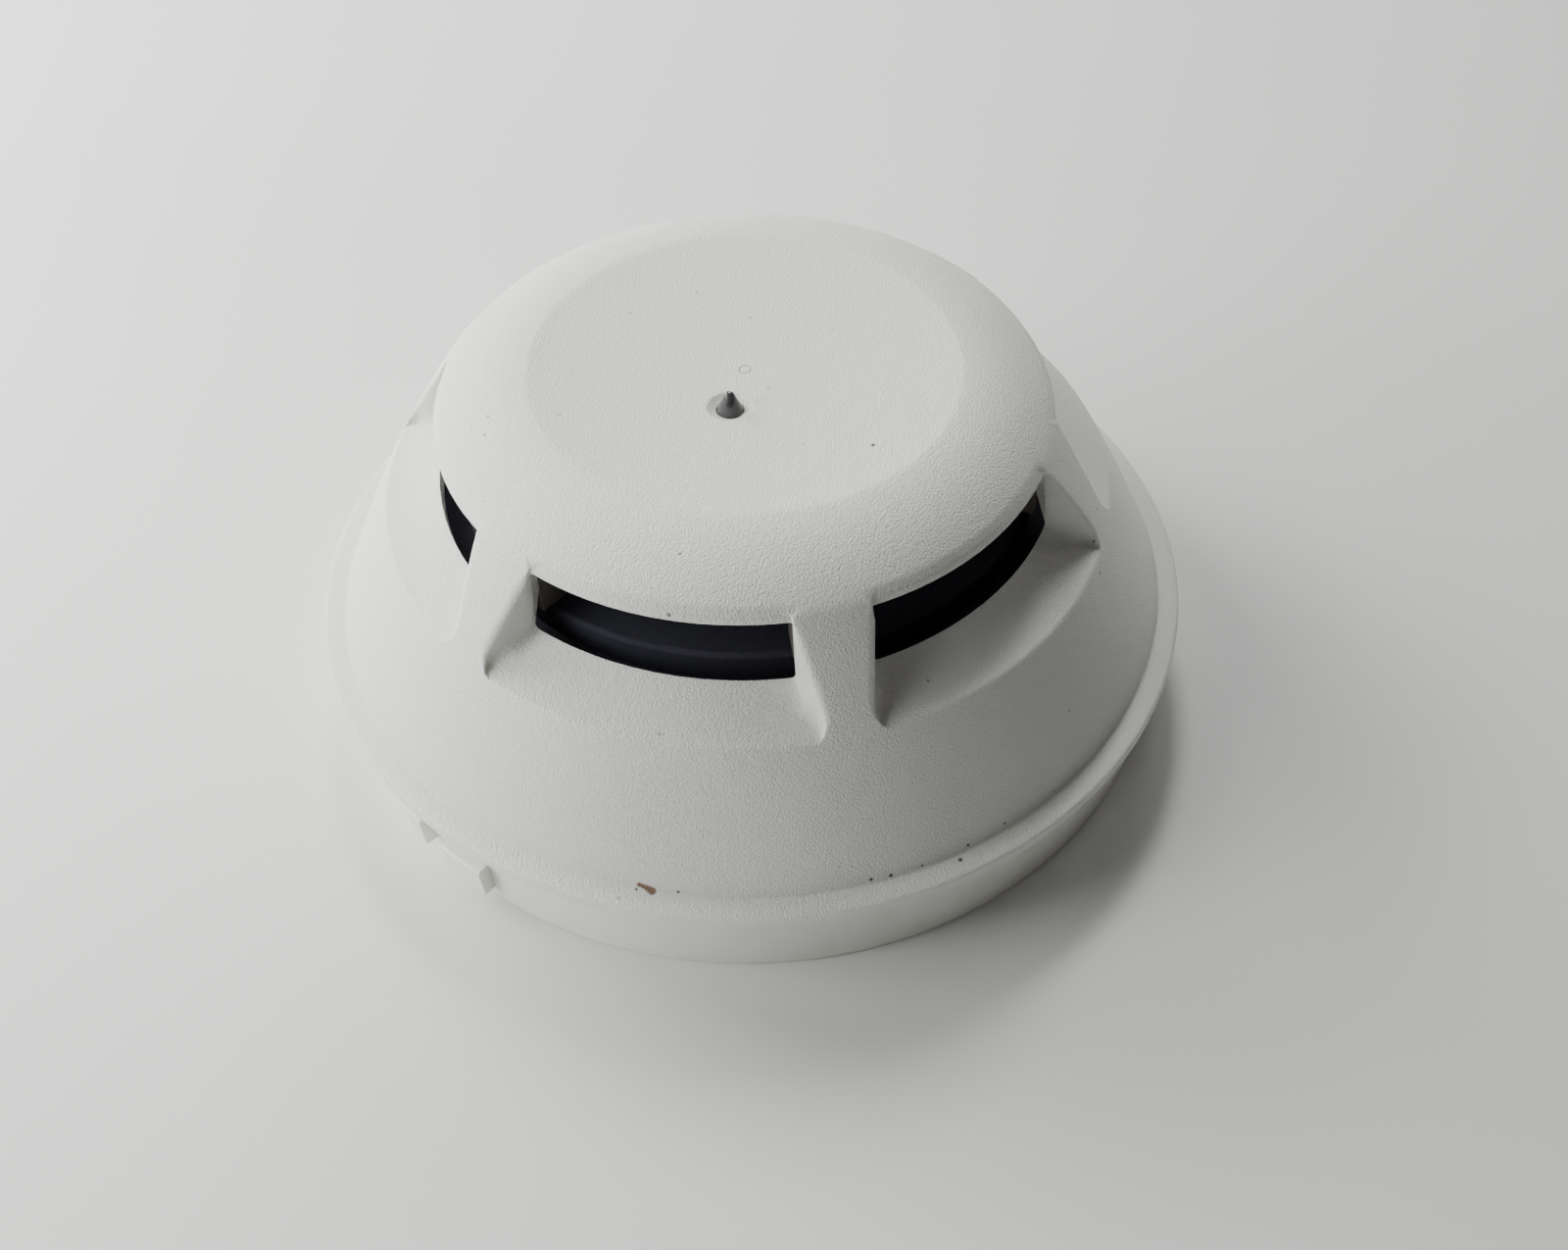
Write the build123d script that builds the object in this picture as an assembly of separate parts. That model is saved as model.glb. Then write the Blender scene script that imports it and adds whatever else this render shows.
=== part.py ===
from build123d import *
import os
from math import atan2, cos, degrees, hypot, radians, sin, sqrt

# Plug-in heat detector head, lying on its back with the sensing end up.
# Millimetres. Z is the axis of the head, z = 0 is the rim of the back housing,
# and one air window and the status light both face -Y.

# ---------------------------------------------------------------- driving sizes
# Back housing: the smooth skirt that plugs into the mounting base
skirt_radius = 49.1
skirt_wall = 1.8
skirt_height = 10.8
rim_round = 0.3
plate_bottom = 5.2
plate_thickness = 1.8
gusset_count = 12
gusset_thickness = 1.2
gusset_length = 7.0
gusset_drop = 3.0
peg_radius = 1.4
peg_count = 2
first_peg_angle = 60.0
peg_rise = 0.5

# Bayonet lugs low on the skirt, in pairs of a long and a short one
lug_pairs = 3
lug_reach = 1.5
lug_height = 4.4
long_lug_start = -27.4
long_lug_angle = 6.5
long_lug_bottom = 2.2
short_lug_start = -33.6
short_lug_angle = 2.4
short_lug_bottom = 3.6
lug_round = 0.3

# Outer cover: lip, cone, cap and dished top
cover_wall = 2.0
lip_overhang = 1.9
lip_thickness = 1.5
lip_round = 0.7
lip_heel_round = 0.35
groove_round = 0.9
groove_width = 2.6
cone_bulge = 0.85
shoulder_setback = 0.9
shoulder_drop = 3.8
shoulder_round = 3.5
cap_height = 41.4
cap_crown = 0.75
dish_setback = 10.3
dish_depth = 0.9
dish_edge_round = 1.5

# Air windows and the pockets that lead into them
window_count = 6
first_window_angle = -90.0
window_setback = 2.5
window_drop = 4.7
window_height = 6.9
sill_land = 0.2
brow_setback = 0.85
brow_height = 2.0
window_half_angle = 23.2
pocket_half_angle = 27.0
pocket_fall = 2.8
pocket_floor_sag = 0.35
pocket_wall = 1.6
pocket_corner_round = 1.4
fin_thickness = 1.4
fin_length = 6.0
fin_clearance = 0.3

# Spigot and snap tabs that hold the cover in the housing
fit_clearance = 0.15
spigot_wall = 1.6
spigot_depth = 3.0
tab_count = 4
first_tab_angle = 30.0
tab_half_angle = 3.6
tab_wall = 1.5
tab_setback = 1.0
tab_hook = 0.8
tab_hook_height = 1.0
tab_clearance = 0.3

# Circuit board and what fastens it
board_margin = 2.15
board_thickness = 1.6
board_stand_off = 3.0
boss_radius = 3.2
contact_count = 4
first_contact_angle = 0.0
contact_inset = 6.0
contact_screw_radius = 1.25
contact_screw_head_radius = 2.4
contact_screw_head_height = 1.5
contact_screw_tail = 0.5
contact_nut_width = 5.0
contact_nut_height = 1.8
thread_clearance = 0.05
hole_clearance = 0.2
shield_screw_count = 3
first_shield_screw_angle = 45.0
shield_screw_inset = 5.5
shield_screw_radius = 1.25
shield_screw_head_radius = 2.3
shield_screw_head_height = 1.6
shield_screw_bite = 2.6

# Contact blades under the plate
blade_thickness = 0.8
blade_width = 10.0
blade_reach = 3.4
blade_tail = 4.4
blade_bend = 0.6
blade_tip_height = 0.9
blade_chamfer = 1.2

# Dark inner shield: the floor of the air chamber, over the electronics
shield_rise = 0.7
shield_taper = 0.8
shield_inset = 4.1
shield_wall = 1.4
shield_round = 0.6
flange_reach = 3.0
flange_drop = 3.3
flange_thickness = 1.2
flange_round = 0.4
shield_ear_radius = 3.3
shield_ear_thickness = 1.8
sensor_collar_radius = 3.0
sensor_collar_height = 1.2
sensor_offset = 4.4
pipe_collar_radius = 2.6
pipe_collar_height = 1.0

# Light pipe and status light
pipe_offset = 6.3
pipe_radius = 1.5
pipe_tip_rise = 1.9
pipe_tip_round = 0.45
pipe_flange_radius = 2.4
pipe_flange_thickness = 0.8
pipe_hole_clearance = 0.35
pipe_sink_radius = 2.5
pipe_sink_depth = 0.5
led_length = 3.2
led_width = 1.6
led_height = 1.3
led_gap = 0.3

# Thermistors
bead_radius = 1.5
bead_cut = 1.0
lead_radius = 0.25
lead_spacing = 1.4
lead_tail = 1.0
lead_clearance = 0.15
sensor_bead_lift = 1.0
reference_bead_lift = 2.0
reference_bead_x = -13.0
reference_bead_y = 13.0

# Electronics on the board, with the places of their middles
chip_length = 9.0
chip_width = 4.0
chip_height = 1.5
chip_x = 14.0
chip_y = 10.0
chip_pin_count = 7
chip_pin_pitch = 1.27
chip_pin_width = 0.4
chip_pin_thickness = 0.2
chip_pin_reach = 1.1
chip_edge = 0.25
bridge_length = 8.0
bridge_width = 6.4
bridge_height = 2.6
bridge_x = -14.0
bridge_y = -12.0
can_radius = 3.15
can_height = 6.4
can_base_width = 6.6
can_base_height = 1.2
can_round = 0.4
can_x = 15.0
can_y = -11.0
clamp_length = 6.9
clamp_width = 5.8
clamp_height = 2.3
clamp_x = 0.0
clamp_y = -20.0
crystal_length = 8.0
crystal_width = 3.6
crystal_height = 3.4
crystal_x = 16.0
crystal_y = 1.0
transistor_length = 2.9
transistor_width = 1.6
transistor_height = 1.0
transistor_x = -20.0
transistor_pitch = 4.5
transistor_count = 3
chip_part_length = 2.0
chip_part_width = 1.25
resistor_height = 0.5
capacitor_height = 1.0
resistor_rows = 4
capacitor_rows = 3
small_part_pitch = 3.2
resistor_x = -3.0
capacitor_x = 3.0
small_part_y = 11.0
package_edge = 0.3
reed_radius = 1.1
reed_length = 14.0
reed_round = 0.75
reed_lift = 0.6
reed_inset = 4.5
reed_angle = 112.0
reed_lead_radius = 0.3
reed_lead_run = 2.2
reed_lead_bend = 0.7

# ---------------------------------------------------------------- derived sizes
plate_top = plate_bottom + plate_thickness
skirt_bore = skirt_radius - skirt_wall
lip_radius = skirt_radius + lip_overhang
lip_top = skirt_height + lip_thickness
cone_foot_radius = lip_radius - groove_width
dish_floor = cap_height - dish_depth
spigot_radius = skirt_bore - fit_clearance
tab_radius = spigot_radius - tab_setback
board_bottom = plate_top + board_stand_off
board_top = board_bottom + board_thickness
board_radius = tab_radius - tab_wall - board_margin
contact_circle = board_radius - contact_inset
shield_screw_circle = board_radius - shield_screw_inset
reed_circle = board_radius - reed_inset
shield_foot_radius = contact_circle - shield_inset
shield_radius = shield_foot_radius - shield_taper
window_radius = shield_radius + window_setback
window_head = cap_height - window_drop
window_sill = window_head - window_height
brow_radius = window_radius - brow_setback
pocket_lip_height = window_sill - pocket_fall
shield_top = window_sill + shield_rise
shield_floor = shield_top - shield_wall
shoulder_radius = window_radius - shoulder_setback
shoulder_height = cap_height - shoulder_drop
dish_radius = shoulder_radius - dish_setback
pipe_tip = dish_floor + pipe_tip_rise
on_base = (Align.CENTER, Align.CENTER, Align.MIN)

# The cone's outline is a shallow arc from the lip's top to the cap's shoulder
cone_rise = shoulder_height - lip_top
cone_run = cone_foot_radius - shoulder_radius
cone_chord = hypot(cone_rise, cone_run)
cone_arc_radius = (cone_chord ** 2 / 4 + cone_bulge ** 2) / (2 * cone_bulge)
cone_centre_drop = cone_arc_radius - cone_bulge
cone_centre_x = (cone_foot_radius + shoulder_radius) / 2 - cone_centre_drop * cone_rise / cone_chord
cone_centre_z = (lip_top + shoulder_height) / 2 - cone_centre_drop * cone_run / cone_chord


# ---------------------------------------------------------------- helpers
def cone_radius(height, inset=0.0):
    """Radius of the cone's outer face at a height, or of a face that lies inside it."""
    return cone_centre_x + sqrt((cone_arc_radius - inset) ** 2 - (height - cone_centre_z) ** 2)


def around(count, first_angle):
    """Angles of copies evenly spaced about the axis."""
    return [first_angle + number * 360.0 / count for number in range(count)]


def spun(angle, x, y=0.0, z=0.0):
    """Location at (x, y, z) of a frame whose X axis points out at an angle."""
    return Rot(0, 0, angle) * Pos(x, y, z)


def turned(outline):
    """Solid of revolution of a closed outline of edges in radius and height."""
    return revolve(Plane.XZ * make_face(Curve() + outline), Axis.Z)


def polygon(points):
    """Closed chain of straight edges."""
    return [Line(points[index - 1], points[index]) for index in range(len(points))]


def ring(outer, inner, bottom, top):
    """Plain ring about the Z axis."""
    body = Pos(0, 0, bottom) * Cylinder(outer, top - bottom, align=on_base)
    return body - Pos(0, 0, bottom) * Cylinder(inner, top - bottom, align=on_base)


def sector(outer, inner, bottom, top, angle, start):
    """Piece of a ring that begins at one angle and spans another."""
    section = Plane.XZ * Pos((inner + outer) / 2, (bottom + top) / 2) * Rectangle(outer - inner, top - bottom)
    return Rot(0, 0, start) * revolve(section, Axis.Z, revolution_arc=angle)


def rod(radius, bottom, top):
    """Upright rod on its own axis."""
    return Pos(0, 0, bottom) * Cylinder(radius, top - bottom, align=on_base)


def block(length, width, bottom, top):
    """Upright block about its own axis."""
    return Pos(0, 0, bottom) * Box(length, width, top - bottom, align=on_base)


def nearest(shapes, x, y, z=0.0):
    """The vertex or edge that lies nearest a point."""
    return shapes.sort_by_distance((x, y, z))[0]


def group(solids):
    """Separate solids kept together as one node."""
    return Compound(children=list(solids))


# ---------------------------------------------------------------- outer cover
def cover_outside():
    """Outer form of the cover as one turned solid, with its edges rounded in the outline."""
    middle_radius = (cone_foot_radius + shoulder_radius) / 2 + cone_bulge * cone_rise / cone_chord
    middle_height = (lip_top + shoulder_height) / 2 + cone_bulge * cone_run / cone_chord
    dome_radius = (dish_radius + shoulder_radius) / 2
    dome_height = (cap_height + shoulder_height) / 2 + cap_crown
    half_dish_height = dish_floor + dish_depth / 4
    shoulder = (shoulder_radius, shoulder_height)
    outline = [
        Line((0, skirt_height), (lip_radius, skirt_height)),
        Line((lip_radius, skirt_height), (lip_radius, lip_top)),
        Line((lip_radius, lip_top), (cone_foot_radius, lip_top)),
        ThreePointArc((cone_foot_radius, lip_top), (middle_radius, middle_height), shoulder),
        ThreePointArc(shoulder, (dome_radius, dome_height), (dish_radius, cap_height)),
        ThreePointArc((dish_radius, cap_height), (dish_radius / 2, half_dish_height), (0, dish_floor)),
        Line((0, dish_floor), (0, skirt_height)),
    ]
    section = make_face(Curve() + outline)
    for x, y, radius in (
        (lip_radius, skirt_height, lip_heel_round),
        (lip_radius, lip_top, lip_round),
        (cone_foot_radius, lip_top, groove_round),
        (shoulder_radius, shoulder_height, shoulder_round),
        (dish_radius, cap_height, dish_edge_round),
    ):
        section = fillet(nearest(section.vertices(), x, y), radius)
    return revolve(Plane.XZ * section, Axis.Z)


def cover_inside():
    """Hollow of the cover: spigot bore, inside of the cone and underside of the cap."""
    bore = spigot_radius - spigot_wall
    shoulder = shoulder_height - cover_wall
    roof = dish_floor - cover_wall
    foot_height = lip_top
    middle_height = (foot_height + shoulder) / 2
    outline = [
        Line((0, skirt_height - 1), (bore, skirt_height - 1)),
        Line((bore, skirt_height - 1), (cone_radius(foot_height, cover_wall), foot_height)),
        ThreePointArc(
            (cone_radius(foot_height, cover_wall), foot_height),
            (cone_radius(middle_height, cover_wall), middle_height),
            (cone_radius(shoulder, cover_wall), shoulder),
        ),
        Line((cone_radius(shoulder, cover_wall), shoulder), (dish_radius, roof)),
        Line((dish_radius, roof), (0, roof)),
        Line((0, roof), (0, skirt_height - 1)),
    ]
    return turned(outline)


def pocket_plan(spread):
    """Plan of a pocket that faces -Y: straight jambs to the window, then flared side walls."""
    lip = cone_radius(pocket_lip_height)
    corner_x = window_radius * sin(radians(window_half_angle))
    corner_y = window_radius * cos(radians(window_half_angle))
    tip_x = lip * sin(radians(pocket_half_angle))
    tip_y = lip * cos(radians(pocket_half_angle))
    flare_x = tip_x + (tip_x - corner_x)
    flare_y = tip_y + (tip_y - corner_y)
    half_plan = [(0, 0), (corner_x, -corner_y), (flare_x, -flare_y)]
    outline = half_plan + [(-x, y) for x, y in reversed(half_plan[1:])]
    plan = make_face(Curve() + polygon(outline))
    if spread > 0:
        plan = offset(plan, spread, kind=Kind.INTERSECTION)
    return extrude(plan, lip_radius)


def pocket_sweep(inner, drop, head):
    """Turned region over a pocket floor, from an inner radius out past the cone."""
    lip = cone_radius(pocket_lip_height)
    beyond = lip_radius
    slope = (window_sill - pocket_lip_height) / (lip - window_radius)
    past_lip = (beyond - window_radius) / (lip - window_radius)
    lift = 4 * pocket_floor_sag * past_lip * (past_lip - 1)
    beyond_height = window_sill - slope * (beyond - window_radius) + lift
    outline = [
        Line((inner, window_sill - drop), (window_radius, window_sill - drop)),
        ThreePointArc(
            (window_radius, window_sill - drop),
            (lip, pocket_lip_height - drop),
            (beyond, beyond_height - drop),
        ),
        Line((beyond, beyond_height - drop), (beyond, head)),
        Line((beyond, head), (inner, head)),
        Line((inner, head), (inner, window_sill - drop)),
    ]
    return turned(outline)


def pocket_corners(pocket):
    """Edges of a pocket where its floor, from the window outward, meets the two side walls."""
    floor_edges = pocket.edges().filter_by(GeomType.BSPLINE).sort_by(Axis.Z)[:3]
    return [edge for edge in floor_edges if abs(edge.center().X) > pocket_wall]


def make_outer_cover():
    """Textured white cover: one shell with six pockets, windows, fins, a spigot and snap tabs."""
    outside = cover_outside()
    sill_edge = window_radius - sill_land
    box = pocket_plan(pocket_wall) & pocket_sweep(sill_edge, pocket_wall, window_head + pocket_wall)
    pocket = pocket_plan(0.0) & pocket_sweep(window_radius - fin_length, 0.0, window_head)
    pocket = fillet(pocket_corners(pocket), pocket_corner_round)
    pocket += pocket_plan(0.0) & ring(lip_radius, brow_radius, window_head, window_head + brow_height)
    fin_bottom = shield_top + fin_clearance
    fin_outer = window_radius + pocket_wall / 2
    fin = spun(0, fin_outer - fin_length / 2, fin_thickness / 2, fin_bottom) * Box(
        fin_length, fin_thickness, dish_floor - fin_bottom - cover_wall / 2, align=on_base
    )
    fins = (fin, mirror(fin, Plane.XZ))
    shell = outside - cover_inside()
    for angle in around(window_count, first_window_angle + 90.0):
        shell += Rot(0, 0, angle) * (box & outside)
    for angle in around(window_count, first_window_angle):
        for side, side_fin in zip((1, -1), fins):
            shell += outside & Rot(0, 0, angle + side * window_half_angle) * side_fin
    for angle in around(window_count, first_window_angle + 90.0):
        shell -= Rot(0, 0, angle) * pocket
    shell += cover_spigot()
    return shell - pipe_hole()


def cover_spigot():
    """Ring that drops inside the skirt, with hooked tabs that reach through the plate."""
    spigot_bottom = skirt_height - spigot_depth
    spigot = ring(spigot_radius, spigot_radius - spigot_wall, spigot_bottom, skirt_height)
    hook_top = plate_bottom - fit_clearance
    hook_bottom = hook_top - tab_hook_height
    tab_top = skirt_height + spigot_depth / 2
    tab_angle = 2 * tab_half_angle
    tab = sector(tab_radius, tab_radius - tab_wall, hook_bottom, tab_top, tab_angle, -tab_half_angle)
    tab += sector(tab_radius + tab_hook, tab_radius, hook_bottom, hook_top, tab_angle, -tab_half_angle)
    for angle in around(tab_count, first_tab_angle):
        spigot += Rot(0, 0, angle) * tab
    return spigot


def pipe_hole():
    """Hole for the light pipe with a shallow countersink, in line with a window."""
    radius = pipe_radius + pipe_hole_clearance
    hole = rod(radius, dish_floor - 2 * cover_wall, dish_floor)
    hole += Pos(0, 0, dish_floor - pipe_sink_depth) * Cone(radius, pipe_sink_radius, pipe_sink_depth, align=on_base)
    hole += rod(pipe_sink_radius, dish_floor, cap_height)
    return spun(first_window_angle, pipe_offset) * hole


# ---------------------------------------------------------------- back housing
def plate_slots():
    """Slots in the plate that the cover's tabs pass through."""
    outer = tab_radius + tab_clearance
    inner = tab_radius - tab_wall - tab_clearance
    angle = 2 * tab_half_angle + 2 * degrees(tab_clearance / tab_radius)
    slot = sector(outer, inner, plate_bottom, plate_top, angle, -angle / 2)
    return [Rot(0, 0, turn) * slot for turn in around(tab_count, first_tab_angle)]


def bayonet_lugs():
    """Pairs of lugs on the skirt, a long low one and a short higher one, that turn into a base."""
    outer = skirt_radius + lug_reach
    pair = []
    for bottom, angle, start in (
        (long_lug_bottom, long_lug_angle, long_lug_start),
        (short_lug_bottom, short_lug_angle, short_lug_start),
    ):
        lug = sector(outer, skirt_bore, bottom, bottom + lug_height, angle, start)
        outer_edges = [edge for edge in lug.edges().filter_by(GeomType.CIRCLE) if edge.radius > skirt_radius]
        pair.append(chamfer(outer_edges, lug_round))
    return [Rot(0, 0, angle) * lug for angle in around(lug_pairs, first_window_angle) for lug in pair]


def make_back_housing():
    """Smooth back moulding: skirt, plate, screw bosses, board pegs, gussets and lugs."""
    skirt = make_face(Curve() + polygon([
        (skirt_bore, plate_bottom),
        (skirt_bore, 0),
        (skirt_radius, 0),
        (skirt_radius, skirt_height),
        (skirt_bore, skirt_height),
        (skirt_bore, plate_top),
        (0, plate_top),
        (0, plate_bottom),
    ]))
    skirt = fillet(nearest(skirt.vertices(), skirt_radius, 0), rim_round)
    body = revolve(Plane.XZ * skirt, Axis.Z)
    boss = rod(boss_radius, plate_bottom, board_bottom)
    for angle in around(contact_count, first_contact_angle):
        body += spun(angle, contact_circle) * boss
    for angle in around(shield_screw_count, first_shield_screw_angle):
        body += spun(angle, shield_screw_circle) * boss
    gusset = extrude(Plane.XZ.offset(-gusset_thickness / 2) * make_face(Curve() + polygon([
        (skirt_bore + skirt_wall / 2, plate_bottom + plate_thickness / 2),
        (skirt_bore + skirt_wall / 2, plate_bottom - gusset_drop),
        (skirt_bore, plate_bottom - gusset_drop),
        (skirt_bore - gusset_length, plate_bottom),
        (skirt_bore - gusset_length, plate_bottom + plate_thickness / 2),
    ])), gusset_thickness)
    peg = rod(peg_radius, plate_bottom, board_top + peg_rise)
    for angle in around(peg_count, first_peg_angle):
        body += spun(angle, board_radius) * peg
    half_step = 180.0 / gusset_count
    for angle in around(gusset_count, half_step):
        body += Rot(0, 0, angle) * gusset
    for lug in bayonet_lugs():
        body += lug
    for slot in plate_slots():
        body -= slot
    contact_hole = rod(contact_screw_radius + hole_clearance, plate_bottom, board_bottom)
    for angle in around(contact_count, first_contact_angle):
        body -= spun(angle, contact_circle) * contact_hole
    pilot_bottom = board_bottom - shield_screw_bite - hole_clearance
    pilot = rod(shield_screw_radius + thread_clearance, pilot_bottom, board_bottom)
    for angle in around(shield_screw_count, first_shield_screw_angle):
        body -= spun(angle, shield_screw_circle) * pilot
    return body


# ---------------------------------------------------------------- screws, nuts and blades
def pan_screw(shank_radius, shank_length, head_radius, head_height):
    """Pan head screw with a cross slot, head up, shank below z = 0."""
    head = Cylinder(head_radius, head_height, align=on_base)
    head = fillet(nearest(head.edges().filter_by(GeomType.CIRCLE), 0, 0, head_height), head_height / 2.5)
    slot_width = head_radius / 4
    slot_floor = head_height / 2
    for turn in (0, 90):
        head -= Rot(0, 0, turn) * block(head_radius * 1.1, slot_width, slot_floor, head_height)
    return head + rod(shank_radius, -shank_length, 0)


def make_contact_screws():
    """Screws that clamp the contact blades through the plate to the board."""
    clamp_stack = blade_thickness + (board_top - plate_bottom) + contact_nut_height
    length = clamp_stack + contact_screw_tail
    screw = pan_screw(contact_screw_radius, length, contact_screw_head_radius, contact_screw_head_height)
    under_blade = Pos(0, 0, plate_bottom - blade_thickness) * Rot(180, 0, 0)
    angles = around(contact_count, first_contact_angle)
    return group(spun(angle, contact_circle) * under_blade * screw for angle in angles)


def make_contact_nuts():
    """Hexagon nuts on the board, one for each contact screw."""
    hexagon = extrude(RegularPolygon(contact_nut_width / 2, 6, major_radius=False), contact_nut_height)
    nut = hexagon - rod(contact_screw_radius + thread_clearance, 0, contact_nut_height)
    angles = around(contact_count, first_contact_angle)
    return group(spun(angle, contact_circle, 0, board_top) * nut for angle in angles)


def make_shield_screws():
    """Screws through the shield's ears and the board into the housing's bosses."""
    length = shield_ear_thickness + board_thickness + shield_screw_bite
    screw = pan_screw(shield_screw_radius, length, shield_screw_head_radius, shield_screw_head_height)
    height = board_top + shield_ear_thickness
    return group(
        spun(angle, shield_screw_circle, 0, height) * screw
        for angle in around(shield_screw_count, first_shield_screw_angle)
    )


def make_contact_blade(angle):
    """Bent sprung-metal contact: a tab under the plate and a blade that points down."""
    top = plate_bottom
    path = Polyline(
        (-blade_tail, top - blade_thickness / 2),
        (blade_reach, top - blade_thickness / 2),
        (blade_reach, blade_tip_height),
    )
    strip = trace(path, blade_thickness)
    inner_bend = nearest(strip.vertices(), blade_reach - blade_thickness / 2, top - blade_thickness)
    strip = fillet(inner_bend, blade_bend)
    outer_bend = nearest(strip.vertices(), blade_reach + blade_thickness / 2, top)
    strip = fillet(outer_bend, blade_bend + blade_thickness)
    blade = extrude(Plane.XZ.offset(-blade_width / 2) * strip, blade_width)
    tip_edges = blade.edges().filter_by(Axis.X).group_by(Axis.Z)[0]
    blade = chamfer(tip_edges, blade_chamfer)
    blade -= rod(contact_screw_radius + hole_clearance, plate_bottom - blade_thickness, plate_bottom)
    return spun(angle, contact_circle) * blade


# ---------------------------------------------------------------- board and shield
def lead_pair(radius, bottom, top):
    """Two upright leads, or the holes that they pass through."""
    return [Pos(x, 0, 0) * rod(radius, bottom, top) for x in (-lead_spacing / 2, lead_spacing / 2)]


sensor_place = spun(first_window_angle + 180.0, sensor_offset)
reference_place = Pos(reference_bead_x, reference_bead_y, 0)
reed_place = spun(reed_angle, reed_circle) * Rot(0, 0, 90)
pipe_place = spun(first_window_angle, pipe_offset)


def make_circuit_board():
    """Round board with screw holes, lead holes and two notches for the pegs."""
    board = rod(board_radius, board_bottom, board_top)
    contact_hole = rod(contact_screw_radius + hole_clearance, board_bottom, board_top)
    for angle in around(contact_count, first_contact_angle):
        board -= spun(angle, contact_circle) * contact_hole
    shield_hole = rod(shield_screw_radius + hole_clearance, board_bottom, board_top)
    for angle in around(shield_screw_count, first_shield_screw_angle):
        board -= spun(angle, shield_screw_circle) * shield_hole
    for angle in around(peg_count, first_peg_angle):
        board -= spun(angle, board_radius) * rod(peg_radius + hole_clearance, board_bottom, board_top)
    for place in (sensor_place, reference_place):
        for hole in lead_pair(lead_radius + lead_clearance, board_bottom, board_top):
            board -= place * hole
    reed_hole_x = reed_length / 2 + reed_lead_run
    for x in (-reed_hole_x, reed_hole_x):
        board -= reed_place * Pos(x, 0, 0) * rod(reed_lead_radius + lead_clearance, board_bottom, board_top)
    return board


def make_inner_shield():
    """Dark cup over the electronics: its top is the floor of the air chamber."""
    outer = make_face(Curve() + polygon([
        (0, board_top),
        (shield_foot_radius, board_top),
        (shield_radius, shield_top),
        (0, shield_top),
    ]))
    outer = fillet(nearest(outer.vertices(), shield_radius, shield_top), shield_round)
    inner = make_face(Curve() + polygon([
        (0, board_top),
        (shield_foot_radius - shield_wall, board_top),
        (shield_radius - shield_wall, shield_floor),
        (0, shield_floor),
    ]))
    hollow = revolve(Plane.XZ * inner, Axis.Z)
    shield = revolve(Plane.XZ * outer, Axis.Z)
    flange_top = shield_top - flange_drop
    flange_radius = shield_radius + flange_reach
    flange = rod(flange_radius, flange_top - flange_thickness, flange_top)
    shield += fillet(flange.edges().group_by(Axis.Z)[-1], flange_round)
    ear_top = board_top + shield_ear_thickness
    arm_length = shield_screw_circle - shield_foot_radius + shield_wall
    ear = rod(shield_ear_radius, board_top, ear_top)
    ear += Pos(-arm_length / 2, 0, 0) * block(arm_length, 2 * shield_ear_radius, board_top, ear_top)
    for angle in around(shield_screw_count, first_shield_screw_angle):
        shield += spun(angle, shield_screw_circle) * ear
    shield += sensor_place * rod(sensor_collar_radius, shield_floor, shield_top + sensor_collar_height)
    shield += pipe_place * rod(pipe_collar_radius, shield_floor, shield_top + pipe_collar_height)
    shield -= hollow
    for hole in lead_pair(lead_radius + lead_clearance, shield_floor, shield_top + sensor_collar_height):
        shield -= sensor_place * hole
    shield -= pipe_place * rod(pipe_radius + hole_clearance, shield_floor, shield_top + pipe_collar_height)
    ear_hole = rod(shield_screw_radius + hole_clearance, board_top, ear_top)
    for angle in around(shield_screw_count, first_shield_screw_angle):
        shield -= spun(angle, shield_screw_circle) * ear_hole
    return shield


# ---------------------------------------------------------------- light pipe, light and sensors
def make_light_pipe():
    """Smoky rod from the status light to a rounded cone that stands in the dish."""
    bottom = board_top + led_height + led_gap
    flange_bottom = shield_top + pipe_collar_height
    ball_centre = pipe_tip - pipe_tip_round
    cone_height = ball_centre - dish_floor
    reach = hypot(pipe_radius, cone_height)
    tangent = atan2(sqrt(reach ** 2 - pipe_tip_round ** 2), pipe_tip_round) - atan2(cone_height, pipe_radius)
    tangent_point = (pipe_tip_round * cos(tangent), ball_centre + pipe_tip_round * sin(tangent))
    halfway = (tangent + radians(90)) / 2
    ball_point = (pipe_tip_round * cos(halfway), ball_centre + pipe_tip_round * sin(halfway))
    pipe = turned([
        Line((0, bottom), (pipe_radius, bottom)),
        Line((pipe_radius, bottom), (pipe_radius, dish_floor)),
        Line((pipe_radius, dish_floor), tangent_point),
        ThreePointArc(tangent_point, ball_point, (0, pipe_tip)),
        Line((0, pipe_tip), (0, bottom)),
    ])
    pipe += rod(pipe_flange_radius, flange_bottom, flange_bottom + pipe_flange_thickness)
    return pipe_place * pipe


def make_status_led():
    """Surface-mounted light under the pipe, with a raised lens."""
    body = block(led_length, led_width, board_top, board_top + led_height / 2)
    lens = block(led_length / 2, led_width, board_top, board_top + led_height)
    lens = chamfer(lens.edges().filter_by(Axis.Y).group_by(Axis.Z)[-1], led_height / 4)
    return pipe_place * (body + lens)


def make_bead(place, bottom):
    """Epoxy bead of a thermistor, flat where its leads come in."""
    ball = Pos(0, 0, bottom + bead_cut) * Sphere(bead_radius)
    return place * (ball & rod(2 * bead_radius, bottom, bottom + bead_cut + 2 * bead_radius))


def make_leads(place, top):
    """Pair of tinned leads from under the board up to a bead."""
    return group(place * lead for lead in lead_pair(lead_radius, board_bottom - lead_tail, top))


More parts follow.
